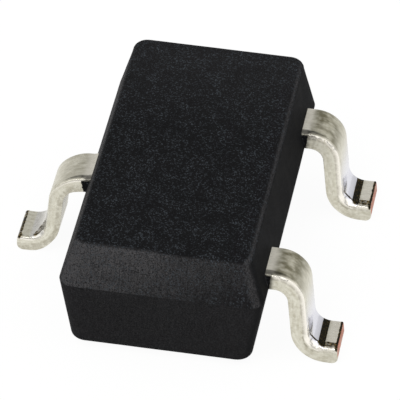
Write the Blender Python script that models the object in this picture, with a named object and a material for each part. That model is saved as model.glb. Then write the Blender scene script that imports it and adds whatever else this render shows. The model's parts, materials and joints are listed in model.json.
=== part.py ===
"""Magnetic sensor chip in a three-lead gull-wing moulded package.

An epoxy body is moulded round a stamped lead frame that has been cut into three
leads. The single lead on one side widens into a sunken paddle. A sensor die is
glued to that paddle, and gold wires join its pads to the leads.

Frame: +Z up, Z = 0 on the plane that the three feet stand on, X = 0 and Y = 0 at
the middle of the body. The leads leave along X and the body is long in Y.
Lengths are in metres, so 1.60e-3 reads as 1.60 mm. Angles are in degrees.
"""

import math

import bmesh
import bpy
from mathutils import Matrix, Vector

# The whole chip, from the plane that its feet stand on to its top
HEIGHT = 1.08e-3
STANDOFF = 0.06e-3

# Moulded body, measured at the parting plane where the two mould halves meet
BODY_LENGTH = 2.90e-3
BODY_WIDTH = 1.60e-3
UPPER_DEPTH = 0.41e-3
UPPER_SIDE_DRAFT = 14.0
UPPER_END_DRAFT = 3.0
LOWER_SIDE_DRAFT = 8.5
LOWER_END_DRAFT = 10.0
CORNER_RADIUS = 0.12e-3
TOP_EDGE_RADIUS = 0.06e-3
BOTTOM_EDGE_RADIUS = 0.045e-3
CORNER_SEGMENTS = 6
EDGE_SEGMENTS = 4

# Gull-wing leads
LEAD_PITCH = 1.90e-3
LEAD_WIDTH = 0.36e-3
LEAD_THICKNESS = 0.14e-3
LEAD_SINK = 0.03e-3
SHOULDER = 0.045e-3
UPPER_BEND_RADIUS = 0.11e-3
LOWER_BEND_RADIUS = 0.14e-3
DROP_LEAN = 7.0
FOOT_FLAT = 0.10e-3
TOE_ROLLOVER = 0.03e-3
LEAD_EDGE_RADIUS = 0.03e-3
BEND_SEGMENTS = 10
LEAD_EDGE_SEGMENTS = 3

# Trimmed resin left beside each lead where it leaves the body
FLASH_REACH = 0.035e-3
FLASH_WALL = 0.016e-3
FLASH_STEP = 0.01e-3

# Inner ends of the lead frame
PADDLE_LENGTH = 1.20e-3
PADDLE_WIDTH = 0.72e-3
PADDLE_OFFSET = -0.10e-3
PADDLE_DOWNSET = 0.15e-3
JOG_BEND_RADIUS = 0.05e-3
JOG_SLOPE = 45.0
JOG_MARGIN = 0.02e-3
TIP_GAP = 0.11e-3
TIP_DEPTH = 0.26e-3
TIP_REACH = 0.26e-3
TAB_RADIUS = 0.06e-3
FILLET_RADIUS = 0.03e-3

# Sensor die and the glue under it
DIE_LENGTH = 0.78e-3
DIE_WIDTH = 0.48e-3
DIE_HEIGHT = 0.18e-3
DIE_OFFSET = -0.04e-3
GLUE_THICKNESS = 0.02e-3
GLUE_MARGIN = 0.03e-3
GLUE_CORNER_RADIUS = 0.04e-3

# Gold wires with a ball at the die and a flattened stitch at the lead
WIRE_DIAMETER = 0.025e-3
WIRE_LOOP_HEIGHT = 0.08e-3
WIRE_REACH_SHARE = 0.7
WIRE_BEVEL_STEPS = 2
LOOP_SEGMENTS = 9
BALL_DIAMETER = 0.07e-3
BALL_HEIGHT = 0.022e-3
NECK_HEIGHT = 0.02e-3
STITCH_LENGTH = 0.06e-3
STITCH_WIDTH = 0.055e-3
STITCH_HEIGHT = 0.012e-3
PAD_INSET = 0.06e-3

# Clearances
SEAT_GAP = 0.003e-3
MOULD_GAP = 0.004e-3

# Heights that follow from the sizes above
TOP_Z = HEIGHT
PARTING_Z = TOP_Z - UPPER_DEPTH
LOWER_DEPTH = PARTING_Z - STANDOFF
LEAD_Z = PARTING_Z - LEAD_SINK + LEAD_THICKNESS / 2
FOOT_Z = LEAD_THICKNESS / 2
PADDLE_Z = LEAD_Z - PADDLE_DOWNSET
LEAD_TOP_Z = LEAD_Z + LEAD_THICKNESS / 2
LEAD_BOTTOM_Z = LEAD_Z - LEAD_THICKNESS / 2
PADDLE_TOP_Z = PADDLE_Z + LEAD_THICKNESS / 2
GLUE_Z = PADDLE_TOP_Z + SEAT_GAP + GLUE_THICKNESS / 2
DIE_Z = GLUE_Z + GLUE_THICKNESS / 2 + SEAT_GAP + DIE_HEIGHT / 2
DIE_TOP_Z = DIE_Z + DIE_HEIGHT / 2

# Places that follow from the sizes above, counted outwards along X
BEND_START_X = BODY_WIDTH / 2 + SHOULDER
PADDLE_NEAR_X = PADDLE_OFFSET + PADDLE_WIDTH / 2
PADDLE_FAR_X = PADDLE_WIDTH / 2 - PADDLE_OFFSET
GLUE_FAR_X = DIE_WIDTH / 2 + GLUE_MARGIN - DIE_OFFSET
TIP_X = PADDLE_NEAR_X + TIP_GAP
PAD_X = DIE_OFFSET + DIE_WIDTH / 2 - PAD_INSET
PAD_Y = DIE_LENGTH / 2 - PAD_INSET

# Distance under which two points of a mesh are one
MERGE_DISTANCE = 1e-8


def clear_scene() -> None:
    """Remove every object that the file starts with."""
    for item in list(bpy.data.objects):
        bpy.data.objects.remove(item, do_unlink=True)


def make_collection(name: str) -> bpy.types.Collection:
    """Return a new collection linked to the scene."""
    group = bpy.data.collections.new(name)
    bpy.context.scene.collection.children.link(group)
    return group


def make_material(name: str, colour: tuple, roughness: float, metallic: float) -> bpy.types.Material:
    """Return a Principled material of one colour, roughness and metallic value."""
    material = bpy.data.materials.new(name)
    material.use_nodes = True
    shader = material.node_tree.nodes["Principled BSDF"]
    shader.inputs["Base Color"].default_value = (*colour, 1.0)
    shader.inputs["Roughness"].default_value = roughness
    shader.inputs["Metallic"].default_value = metallic
    return material


def add_object(name: str, mesh: bpy.types.Mesh, group: bpy.types.Collection) -> bpy.types.Object:
    """Link a mesh into a collection as a named object."""
    item = bpy.data.objects.new(name, mesh)
    group.objects.link(item)
    return item


def bmesh_to_mesh(name: str, bm: bmesh.types.BMesh) -> bpy.types.Mesh:
    """Weld a bmesh, point its faces outwards and hand it over as a mesh."""
    bmesh.ops.remove_doubles(bm, verts=bm.verts[:], dist=MERGE_DISTANCE)
    bmesh.ops.recalc_face_normals(bm, faces=bm.faces[:])
    mesh = bpy.data.meshes.new(name)
    bm.to_mesh(mesh)
    bm.free()
    return mesh


def as_cutter(item: bpy.types.Object) -> bpy.types.Object:
    """Mark an object as a tool that is not part of the finished chip."""
    item.hide_render = True
    item.display_type = "WIRE"
    return item


def add_boolean(item: bpy.types.Object, tool: bpy.types.Object, operation: str) -> None:
    """Cut or join an object with another by an exact Boolean."""
    modifier = item.modifiers.new(f"{operation} {tool.name}", "BOOLEAN")
    modifier.operation = operation
    modifier.solver = "EXACT"
    modifier.object = tool


def box_mesh(name: str, low: Vector, high: Vector) -> bpy.types.Mesh:
    """Return a box between two corners."""
    bm = bmesh.new()
    bmesh.ops.create_cube(bm, size=1.0)
    bmesh.ops.scale(bm, vec=high - low, verts=bm.verts[:])
    bmesh.ops.translate(bm, vec=(high + low) / 2, verts=bm.verts[:])
    return bmesh_to_mesh(name, bm)


def prism_mesh(name: str, outline: list, depth: float, place: Matrix) -> bpy.types.Mesh:
    """Extrude a flat closed outline by a depth that is centred on its plane.

    The outline is a filled 2D curve in its own XY plane, and place carries it
    into the chip's frame.
    """
    curve = bpy.data.curves.new(name, "CURVE")
    curve.dimensions = "2D"
    curve.fill_mode = "BOTH"
    curve.extrude = depth / 2
    spline = curve.splines.new("POLY")
    spline.points.add(len(outline) - 1)
    for point, (across, along) in zip(spline.points, outline):
        point.co = (across, along, 0.0, 1.0)
    spline.use_cyclic_u = True
    bm = curve_to_bmesh(name, curve)
    for facing in (-1.0, 1.0):
        cap = [face for face in bm.faces if face.normal.z * facing > 0.5]
        bmesh.ops.dissolve_faces(bm, faces=cap)
    bm.transform(place)
    return bmesh_to_mesh(name, bm)


def curve_to_bmesh(name: str, curve: bpy.types.Curve) -> bmesh.types.BMesh:
    """Turn a curve into a closed bmesh with its caps welded, and remove the curve."""
    holder = bpy.data.objects.new(name, curve)
    bpy.context.scene.collection.objects.link(holder)
    bpy.context.view_layer.update()
    evaluated = holder.evaluated_get(bpy.context.evaluated_depsgraph_get())
    loose = bpy.data.meshes.new_from_object(evaluated)
    bm = bmesh.new()
    bm.from_mesh(loose)
    bmesh.ops.remove_doubles(bm, verts=bm.verts[:], dist=MERGE_DISTANCE)
    bmesh.ops.recalc_face_normals(bm, faces=bm.faces[:])
    bpy.data.objects.remove(holder, do_unlink=True)
    bpy.data.curves.remove(curve)
    bpy.data.meshes.remove(loose)
    return bm


def rounded_outline(corners: list, radii: list, segments: int) -> list:
    """Round the corners of a closed 2D outline.

    Each corner has its own radius, and a corner with none stays sharp. A radius
    is limited to what half of the shorter side next to it has room for.
    """
    points = []
    count = len(corners)
    for index, corner in enumerate(corners):
        here = Vector(corner)
        if radii[index] <= 0.0:
            points.append(here)
            continue
        before = Vector(corners[index - 1]) - here
        after = Vector(corners[(index + 1) % count]) - here
        opening = before.angle(after)
        room = min(before.length, after.length) / 2
        run = min(radii[index] / math.tan(opening / 2), room)
        start = here + before.normalized() * run
        end = here + after.normalized() * run
        centre = here + (start + end - 2 * here).normalized() * (run / math.cos(opening / 2))
        sweep = (start - centre).angle_signed(end - centre)
        for step in range(segments + 1):
            turn = Matrix.Rotation(-sweep * step / segments, 2)
            points.append(centre + turn @ (start - centre))
    return [
        point for index, point in enumerate(points)
        if (point - points[index - 1]).length > MERGE_DISTANCE]


def body_mesh(name: str) -> bpy.types.Mesh:
    """Return the moulded block: two drafted halves with rounded corners and edges."""
    outline = plate_outline(0.0, BODY_WIDTH, BODY_LENGTH, CORNER_RADIUS, CORNER_SEGMENTS, 0.0)
    stand = Matrix.Translation((0.0, 0.0, (TOP_Z + STANDOFF) / 2))
    bm = bmesh.new()
    bm.from_mesh(prism_mesh(name, outline, TOP_Z - STANDOFF, stand))
    cut_level(bm, (0.0, 0.0, PARTING_Z), (0.0, 0.0, 1.0))
    taper_level(bm, TOP_Z, UPPER_DEPTH, UPPER_SIDE_DRAFT, UPPER_END_DRAFT)
    taper_level(bm, STANDOFF, LOWER_DEPTH, LOWER_SIDE_DRAFT, LOWER_END_DRAFT)
    round_edges(bm, level_edges(bm, TOP_Z), TOP_EDGE_RADIUS, EDGE_SEGMENTS)
    round_edges(bm, level_edges(bm, STANDOFF), BOTTOM_EDGE_RADIUS, EDGE_SEGMENTS)
    return bmesh_to_mesh(name, bm)


def cut_level(bm: bmesh.types.BMesh, point: tuple, normal: tuple) -> None:
    """Cut a ring of edges round a bmesh where a plane crosses it."""
    whole = bm.verts[:] + bm.edges[:] + bm.faces[:]
    bmesh.ops.bisect_plane(bm, geom=whole, plane_co=point, plane_no=normal, dist=MERGE_DISTANCE)


def taper_level(bm: bmesh.types.BMesh, height: float, depth: float, side: float, end: float) -> None:
    """Draw in the corners at one height by the draft of the sides and of the ends."""
    for vert in bm.verts:
        if near(vert.co.z, height):
            vert.co.x -= math.copysign(depth * math.tan(math.radians(side)), vert.co.x)
            vert.co.y -= math.copysign(depth * math.tan(math.radians(end)), vert.co.y)


def level_edges(bm: bmesh.types.BMesh, height: float) -> list:
    """Return the edges that lie at one height."""
    return [edge for edge in bm.edges if joins(edge, lambda spot: near(spot.z, height))]


def round_edges(bm: bmesh.types.BMesh, edges: list, radius: float, segments: int) -> None:
    """Round some edges of a bmesh."""
    bmesh.ops.bevel(
        bm, geom=edges, offset=radius, offset_type="OFFSET", affect="EDGES",
        segments=segments, profile=0.5, material=-1, clamp_overlap=True)


def gull_wing_path(inner_x: float) -> list:
    """Return an outer lead's middle line from inner_x to the toe, as runs and bends.

    Each entry is the length that it takes up and the angle that it turns down
    by, with no angle on a straight run.
    """
    turn = math.radians(90.0 - DROP_LEAN)
    upper = UPPER_BEND_RADIUS + LEAD_THICKNESS / 2
    lower = LOWER_BEND_RADIUS + LEAD_THICKNESS / 2
    drop = LEAD_Z - FOOT_Z - (upper + lower) * (1 - math.cos(turn))
    return [
        (BEND_START_X - inner_x, 0.0), (upper * turn, turn), (drop / math.sin(turn), 0.0),
        (lower * turn, -turn), (FOOT_FLAT, 0.0)]


def paddle_path() -> list:
    """Return the middle line of the paddle's lead, from the paddle's near edge to the toe."""
    slope = math.radians(JOG_SLOPE)
    bend = JOG_BEND_RADIUS + LEAD_THICKNESS / 2
    ramp = (PADDLE_DOWNSET - 2 * bend * (1 - math.cos(slope))) / math.sin(slope)
    level = PADDLE_WIDTH + FILLET_RADIUS + JOG_MARGIN
    jog_end_x = PADDLE_FAR_X - PADDLE_WIDTH + level + 2 * bend * math.sin(slope) + ramp * math.cos(slope)
    step_up = [(level, 0.0), (bend * slope, -slope), (ramp, 0.0), (bend * slope, slope)]
    return step_up + gull_wing_path(jog_end_x)


def path_length(path: list) -> float:
    """Return the length of strip that a path takes up."""
    return sum(length for length, turn in path)


def bend_stations(path: list) -> list:
    """Return the places along a flat strip where it has to be cut to follow the bends."""
    stations = []
    reached = 0.0
    for length, turn in path:
        steps = 1 if turn == 0.0 else BEND_SEGMENTS
        stations += [reached + length * (step + 1) / steps for step in range(steps)]
        reached += length
    return stations[:-1]


def bend_point(path: list, start: Vector, flat: Vector) -> Vector:
    """Carry a point of the flat strip to its place on the bent one.

    The strip lies along +X with its middle plane at Z = 0, and its zero end goes
    to start. A point past either end goes on straight.
    """
    place = start.copy()
    heading = 0.0
    left = flat.x
    for index, (length, turn) in enumerate(path):
        last = index == len(path) - 1
        used = left if last else min(left, length)
        if turn == 0.0:
            place += Vector((math.cos(heading), 0.0, -math.sin(heading))) * used
        else:
            radius = length / turn
            after = heading + used / radius
            chord = Vector((math.sin(after) - math.sin(heading), 0.0, math.cos(after) - math.cos(heading)))
            place += chord * radius
            heading = after
        left -= used
        if left <= 0.0:
            break
    return place + Vector((math.sin(heading), 0.0, math.cos(heading))) * flat.z + Vector((0.0, flat.y, 0.0))


def formed_strip(
        name: str, outline: list, middle_y: float, path: list, start: Vector,
        grow: float) -> bpy.types.Mesh:
    """Stamp a blank from sheet, finish its edges and bend it along a path.

    Args: outline is the flat blank with its inner end at X = 0, middle_y is the
    middle line of its strip, start is where that line's inner end goes, and grow
    makes the same strip larger all round, as the space that it needs in the resin.
    """
    blank = prism_mesh(name, outline, LEAD_THICKNESS + 2 * grow, Matrix.Identity(4))
    bm = bmesh.new()
    bm.from_mesh(blank)
    bpy.data.meshes.remove(blank)
    if grow == 0.0:
        finish_edges(bm, middle_y)
    for station in bend_stations(path):
        cut_level(bm, (station, 0.0, 0.0), (1.0, 0.0, 0.0))
    for vert in bm.verts:
        vert.co = bend_point(path, start, vert.co)
    return bmesh_to_mesh(name, bm)


def finish_edges(bm: bmesh.types.BMesh, middle_y: float) -> None:
    """Roll over the sheared lower edge of a flat blank's toe and round its two long upper edges."""
    half = LEAD_THICKNESS / 2
    toe = max(vert.co.x for vert in bm.verts)
    sheared = [
        edge for edge in bm.edges
        if joins(edge, lambda spot: near(spot.x, toe) and near(spot.z, -half))]
    round_edges(bm, sheared, TOE_ROLLOVER, EDGE_SEGMENTS)
    for flank in (middle_y - LEAD_WIDTH / 2, middle_y + LEAD_WIDTH / 2):
        rim = [
            edge for edge in bm.edges
            if joins(edge, lambda spot: near(spot.y, flank) and near(spot.z, half))]
        round_edges(bm, rim, LEAD_EDGE_RADIUS, LEAD_EDGE_SEGMENTS)


def near(value: float, target: float) -> bool:
    """Tell whether two coordinates are the same place."""
    return abs(value - target) < MERGE_DISTANCE


def joins(edge: bmesh.types.BMEdge, test) -> bool:
    """Tell whether both ends of an edge pass a test of their place."""
    return all(test(vert.co) for vert in edge.verts)


def signal_blank(side: float, length: float, grow: float) -> list:
    """Return a signal lead's flat blank: a strip whose inner tab turns towards the paddle's middle."""
    middle = side * LEAD_PITCH / 2
    edge_in = middle - side * (LEAD_WIDTH / 2 + grow)
    edge_out = middle + side * (LEAD_WIDTH / 2 + grow)
    tab_in = edge_in - side * TIP_REACH
    neck = TIP_DEPTH + grow
    corners = [
        (-grow, tab_in), (neck, tab_in), (neck, edge_in),
        (length, edge_in), (length, edge_out), (-grow, edge_out)]
    radii = [TAB_RADIUS, TAB_RADIUS, FILLET_RADIUS, 0.0, 0.0, TAB_RADIUS]
    return rounded_outline(corners, radii, EDGE_SEGMENTS)


def paddle_blank(length: float, grow: float) -> list:
    """Return the flat blank of the paddle's lead: a strip with the wide paddle at its inner end."""
    half = LEAD_WIDTH / 2 + grow
    wide = PADDLE_LENGTH / 2 + grow
    neck = PADDLE_WIDTH + grow
    corners = [
        (-grow, -wide), (neck, -wide), (neck, -half), (length, -half),
        (length, half), (neck, half), (neck, wide), (-grow, wide)]
    radii = [TAB_RADIUS, TAB_RADIUS, FILLET_RADIUS, 0.0, 0.0, FILLET_RADIUS, TAB_RADIUS, TAB_RADIUS]
    return rounded_outline(corners, radii, EDGE_SEGMENTS)


def plate_outline(
        middle_x: float, width: float, length: float, radius: float, segments: int,
        grow: float) -> list:
    """Return a rounded rectangle centred on Y = 0."""
    half_x = width / 2 + grow
    half_y = length / 2 + grow
    corners = [
        (middle_x - half_x, -half_y), (middle_x + half_x, -half_y),
        (middle_x + half_x, half_y), (middle_x - half_x, half_y)]
    return rounded_outline(corners, [radius] * 4, segments)


def signal_lead(name: str, side: float, grow: float, group: bpy.types.Collection) -> bpy.types.Object:
    """Return a signal lead, which leaves the body on its +X side.

    Args: side is -1 or 1, for the lead at -Y or +Y.
    """
    path = gull_wing_path(TIP_X)
    outline = signal_blank(side, path_length(path), grow)
    start = Vector((TIP_X, 0.0, LEAD_Z))
    return add_object(name, formed_strip(name, outline, side * LEAD_PITCH / 2, path, start, grow), group)


def paddle_lead(name: str, grow: float, group: bpy.types.Collection) -> bpy.types.Object:
    """Return the single lead on the -X side, which steps down and widens into the paddle."""
    path = paddle_path()
    start = Vector((PADDLE_FAR_X - PADDLE_WIDTH, 0.0, PADDLE_Z))
    mesh = formed_strip(name, paddle_blank(path_length(path), grow), 0.0, path, start, grow)
    mesh.transform(Matrix.Rotation(math.pi, 4, "Z"))
    return add_object(name, mesh, group)


def glue_layer(name: str, grow: float, group: bpy.types.Collection) -> bpy.types.Object:
    """Return the cured glue between the paddle and the die."""
    width = DIE_WIDTH + 2 * GLUE_MARGIN
    length = DIE_LENGTH + 2 * GLUE_MARGIN
    outline = plate_outline(DIE_OFFSET, width, length, GLUE_CORNER_RADIUS, EDGE_SEGMENTS, grow)
    lay = Matrix.Translation((0.0, 0.0, GLUE_Z))
    return add_object(name, prism_mesh(name, outline, GLUE_THICKNESS + 2 * grow, lay), group)


def sensor_die(name: str, grow: float, group: bpy.types.Collection) -> bpy.types.Object:
    """Return the sawn silicon die that senses the field."""
    half = Vector((DIE_WIDTH / 2 + grow, DIE_LENGTH / 2 + grow, DIE_HEIGHT / 2 + grow))
    middle = Vector((DIE_OFFSET, 0.0, DIE_Z))
    return add_object(name, box_mesh(name, middle - half, middle + half), group)


def wire_heading(pad: Vector, landing: Vector) -> Vector:
    """Return the level direction in which a wire runs."""
    return (landing - pad).to_2d().normalized().to_3d()


def wire_route(pad: Vector, landing: Vector, grow: float) -> list:
    """Return a wire's middle line: up from its ball, over in a loop, down and along its stitch."""
    up = Vector((0.0, 0.0, 1.0))
    ball_top = pad + up * BALL_HEIGHT
    neck = ball_top + up * NECK_HEIGHT
    heading = wire_heading(pad, landing)
    level = landing + up * WIRE_DIAMETER / 2
    touch = level - heading * STITCH_LENGTH / 2
    over = neck.lerp(touch, WIRE_REACH_SHARE)
    over.z = neck.z + WIRE_LOOP_HEIGHT
    corners = (neck, neck + up * WIRE_LOOP_HEIGHT, over, touch)
    route = [pad - up * grow, ball_top + up * grow]
    for step in range(LOOP_SEGMENTS + 1):
        t = step / LOOP_SEGMENTS
        weights = ((1 - t) ** 3, 3 * t * (1 - t) ** 2, 3 * t * t * (1 - t), t ** 3)
        route.append(sum((corner * weight for corner, weight in zip(corners, weights)), Vector()))
    return route + [level + heading * (STITCH_LENGTH / 2 + grow)]


def wire_bmesh(
        name: str, pad: Vector, landing: Vector, grow: float,
        end_radius: float) -> bmesh.types.BMesh:
    """Return a wire as a round tube that is thick at its ball and has its own radius at its stitch."""
    radius = WIRE_DIAMETER / 2 + grow
    heading = wire_heading(pad, landing)
    curve = bpy.data.curves.new(name, "CURVE")
    curve.dimensions = "3D"
    curve.bevel_depth = radius
    curve.bevel_resolution = WIRE_BEVEL_STEPS
    curve.use_fill_caps = True
    route = wire_route(pad, landing, grow)
    spline = curve.splines.new("POLY")
    spline.points.add(len(route) - 1)
    for point, place in zip(spline.points, route):
        point.co = (*place, 1.0)
        point.tilt = math.atan2(heading.y, heading.x)
    for point in spline.points[:2]:
        point.radius = (BALL_DIAMETER / 2 + grow) / radius
    for point in spline.points[-2:]:
        point.radius = end_radius / radius
    return curve_to_bmesh(name, curve)


def press_stitch(bm: bmesh.types.BMesh, pad: Vector, landing: Vector) -> None:
    """Flatten the end of a wire against the lead and spread it sideways."""
    heading = wire_heading(pad, landing)
    across = Vector((-heading.y, heading.x, 0.0))
    for vert in bm.verts:
        away = vert.co - landing
        if away.dot(heading) > -(STITCH_LENGTH + WIRE_DIAMETER) / 2 and away.z < 2 * WIRE_DIAMETER:
            vert.co += across * away.dot(across) * (STITCH_WIDTH / WIRE_DIAMETER - 1)
            vert.co.z = landing.z + away.z * STITCH_HEIGHT / WIRE_DIAMETER


def bond_wire(
        name: str, pad: Vector, landing: Vector, grow: float,
        group: bpy.types.Collection) -> bpy.types.Object:
    """Return one bonded wire: a ball on the die, a loop, and a stitch on the lead frame.

    A grown wire is only the space in the resin, which is round at the stitch too
    and wide enough to hold it.
    Args: pad and landing are the points that it is bonded to.
    """
    lift = Vector((0.0, 0.0, SEAT_GAP))
    if grow == 0.0:
        bm = wire_bmesh(name, pad + lift, landing + lift, grow, WIRE_DIAMETER / 2)
        press_stitch(bm, pad + lift, landing + lift)
    else:
        end_radius = math.hypot(STITCH_WIDTH, WIRE_DIAMETER) / 2 + grow
        bm = wire_bmesh(name, pad + lift, landing + lift, grow, end_radius)
    return add_object(name, bmesh_to_mesh(name, bm), group)


def flash_stub(name: str, side: float, y: float, tools: bpy.types.Collection) -> bpy.types.Object:
    """Return the trimmed resin that wraps both sides of one lead where it leaves the body."""
    reach = BODY_WIDTH / 2 + FLASH_REACH
    root = BODY_WIDTH / 4
    half = LEAD_WIDTH / 2 + FLASH_WALL
    low = Vector((min(side * reach, side * root), y - half, LEAD_BOTTOM_Z + FLASH_STEP))
    high = Vector((max(side * reach, side * root), y + half, LEAD_TOP_Z - FLASH_STEP))
    return as_cutter(add_object(name, box_mesh(name, low, high), tools))


def inner_pieces(prefix: str, grow: float, group: bpy.types.Collection) -> dict:
    """Build everything that the resin is moulded round, at its own size or grown by a clearance."""
    tip_y = LEAD_PITCH / 2 - LEAD_WIDTH / 2 - TIP_REACH / 2
    tip_x = TIP_X + TIP_DEPTH / 2
    ground_x = -(GLUE_FAR_X + PADDLE_FAR_X) / 2
    pads = {
        "supply": (Vector((PAD_X, -PAD_Y, DIE_TOP_Z)), Vector((tip_x, -tip_y, LEAD_TOP_Z))),
        "output": (Vector((PAD_X, PAD_Y, DIE_TOP_Z)), Vector((tip_x, tip_y, LEAD_TOP_Z))),
        "ground": (Vector((DIE_OFFSET - DIE_WIDTH / 2 + PAD_INSET, 0.0, DIE_TOP_Z)),
                   Vector((ground_x, 0.0, PADDLE_TOP_Z)))}
    pieces = {
        "lead_supply": signal_lead(f"{prefix}lead_supply", -1.0, grow, group),
        "lead_output": signal_lead(f"{prefix}lead_output", 1.0, grow, group),
        "lead_ground_paddle": paddle_lead(f"{prefix}lead_ground_paddle", grow, group),
        "die_glue": glue_layer(f"{prefix}die_glue", grow, group),
        "sensor_die": sensor_die(f"{prefix}sensor_die", grow, group)}
    for role, (pad, landing) in pads.items():
        name = f"bond_wire_{role}"
        pieces[name] = bond_wire(f"{prefix}{name}", pad, landing, grow, group)
    return pieces


def moulded_body(group: bpy.types.Collection, tools: bpy.types.Collection) -> bpy.types.Object:
    """Return the epoxy body, with the space inside that its lead frame, die and wires take up."""
    body = add_object("moulded_body", body_mesh("moulded_body"), group)
    exits = ((1.0, -LEAD_PITCH / 2), (1.0, LEAD_PITCH / 2), (-1.0, 0.0))
    for index, (side, y) in enumerate(exits):
        add_boolean(body, flash_stub(f"flash_stub_{index + 1}", side, y, tools), "UNION")
    for space in inner_pieces("space_for_", MOULD_GAP, tools).values():
        add_boolean(body, as_cutter(space), "DIFFERENCE")
    return body


def shade(item: bpy.types.Object, material: bpy.types.Material) -> None:
    """Give an object its material and smooth its rounded faces."""
    item.data.materials.append(material)
    item.data.shade_smooth()
    item.data.set_sharp_from_angle(angle=math.radians(35.0))


def main() -> None:
    """Build the chip."""
    clear_scene()
    chip = make_collection("magnetic_sensor_chip")
    tools = make_collection("cutters")
    epoxy = make_material("black_epoxy", (0.012, 0.013, 0.015), 0.55, 0.0)
    tin = make_material("matte_tin_on_copper", (0.62, 0.60, 0.54), 0.35, 1.0)
    silicon = make_material("silicon", (0.12, 0.13, 0.16), 0.15, 0.6)
    glue = make_material("silver_filled_glue", (0.45, 0.44, 0.42), 0.6, 0.3)
    gold = make_material("gold_wire", (0.83, 0.61, 0.23), 0.25, 1.0)
    finishes = {"lead": tin, "die_glue": glue, "sensor": silicon, "bond": gold}
    shade(moulded_body(chip, tools), epoxy)
    for name, piece in inner_pieces("", 0.0, chip).items():
        finish = next(material for start, material in finishes.items() if name.startswith(start))
        shade(piece, finish)


main()
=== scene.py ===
"""Looks of a magnetic sensor chip in a three-lead gull-wing moulded package.

The solids give every place and size. This script gives the mould compound its
grain and its torn resin beside the leads, the leads their rolled rims, tin
plating and sheared copper toes, and the die, its glue and its wires their
finishes. It sets the chip on a white table under soft studio light. Lengths are
in metres and angles in degrees.
"""

from __future__ import annotations

import json
import logging
import math
from dataclasses import dataclass
from enum import Enum
from typing import Callable, Iterable

import bmesh
import bpy
from mathutils import Matrix, Vector, noise

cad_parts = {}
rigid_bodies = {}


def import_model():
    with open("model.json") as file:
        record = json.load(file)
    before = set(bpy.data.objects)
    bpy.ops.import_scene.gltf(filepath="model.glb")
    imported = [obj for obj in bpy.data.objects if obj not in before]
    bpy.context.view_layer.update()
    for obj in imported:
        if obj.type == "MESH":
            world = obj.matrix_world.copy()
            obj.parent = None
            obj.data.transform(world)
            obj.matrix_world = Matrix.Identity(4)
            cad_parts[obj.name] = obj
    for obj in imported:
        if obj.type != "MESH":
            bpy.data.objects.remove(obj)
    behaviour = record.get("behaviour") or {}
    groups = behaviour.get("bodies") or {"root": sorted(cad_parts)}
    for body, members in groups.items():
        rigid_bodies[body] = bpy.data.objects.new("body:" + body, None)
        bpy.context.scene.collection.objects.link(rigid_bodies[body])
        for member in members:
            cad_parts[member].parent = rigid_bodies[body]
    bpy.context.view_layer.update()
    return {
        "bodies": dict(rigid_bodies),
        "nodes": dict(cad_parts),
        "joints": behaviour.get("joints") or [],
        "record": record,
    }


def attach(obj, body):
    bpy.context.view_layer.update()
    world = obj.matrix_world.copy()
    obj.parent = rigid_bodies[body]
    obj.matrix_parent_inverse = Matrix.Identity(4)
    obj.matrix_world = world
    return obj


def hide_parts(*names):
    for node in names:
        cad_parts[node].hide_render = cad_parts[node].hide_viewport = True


LOG = logging.getLogger("chip_looks")
MICRON = 1e-6
MM = 1e-3
ROOT = "root"
BODY_NODE = "moulded_body"
MERGE = 1e-8
UP = Vector((0.0, 0.0, 1.0))

# Kinds of value that the functions below pass on
Range = tuple[float, float]
Path = list[tuple[float, float]]
BMesh = bmesh.types.BMesh
Material = bpy.types.Material
Mesh = bpy.types.Mesh
Object = bpy.types.Object
Socket = bpy.types.NodeSocket
Tree = bpy.types.NodeTree

# Attributes that the finishes read from their piece
GRAIN = "mould_grain"
# Grey tone of the upper ends, with painted light and painted highlights over it
BLOOM_AND_LIGHT = "mould_bloom_and_painted_light"
STRIP = "strip_place"
# The smoothed drop, also painted lighter and bluer as a reflection
BURNISH_AND_REFLECTION = "burnish_and_reflection"
# Stretched plating and painted shade on the upper bend, and painted shade on the foot's sides
STRETCH_AND_SHADE = "stretch_and_shade"
# Painted highlight along the rims, and the top painted paler beside the body and on the foot
RIM_HIGHLIGHT = "painted_rim_highlight"
# The tool's mark in the heel, the toe's line, and painted shade beside the rim
MARK_AND_SHADE = "pressed_mark_and_painted_shade"
FRACTURE = "fracture"
# Resin thread along the rim, partly painted reflection, with painted shadow at its root
BLEED_AND_SHADE = "resin_bleed_and_painted_shade"

# Levels that the chip's solids are built on
STANDOFF = 0.06 * MM
PARTING_Z = STANDOFF + 0.61 * MM
TOP_Z = PARTING_Z + 0.41 * MM

# Where most values of a noise texture lie
NOISE_SPAN: Range = (0.3, 0.7)

# How closely a point's normal has to follow a face's direction to belong to that face
FLAT_FACING: Range = (0.5, 0.95)


# Nodes of a finish


def linear(code: str) -> tuple[float, float, float, float]:
    """Turn an sRGB hex colour into the linear colour that a shader takes.

    Args:
        code: the colour as "#rrggbb".

    Returns:
        Linear red, green and blue, and an alpha of 1.
    """
    parts = [int(code[place:place + 2], 16) / 255 for place in (1, 3, 5)]
    red, green, blue = [
        part / 12.92 if part <= 0.04045 else ((part + 0.055) / 1.055) ** 2.4 for part in parts]
    return red, green, blue, 1.0


def add_node(
        tree: Tree, kind: str, settings: dict | None = None, inputs: dict | None = None) -> bpy.types.Node:
    """Add a node to a tree, with its settings and its inputs.

    Args:
        tree: the node tree that it goes into.
        kind: Blender's name of the node.
        settings: attributes of the node.
        inputs: values or output sockets, by the input's name or number.

    Returns:
        The new node.
    """
    node = tree.nodes.new(kind)
    for name, value in (settings or {}).items():
        setattr(node, name, value)
    for name, value in (inputs or {}).items():
        if isinstance(value, Socket):
            tree.links.new(value, node.inputs[name])
        else:
            node.inputs[name].default_value = value
    return node


def new_material(name: str) -> tuple[Material, Tree]:
    """Make a material whose node tree is empty.

    Args:
        name: the material's name.

    Returns:
        The material and its node tree.
    """
    material = bpy.data.materials.new(name)
    material.use_nodes = True
    material.node_tree.nodes.clear()
    return material, material.node_tree


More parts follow.
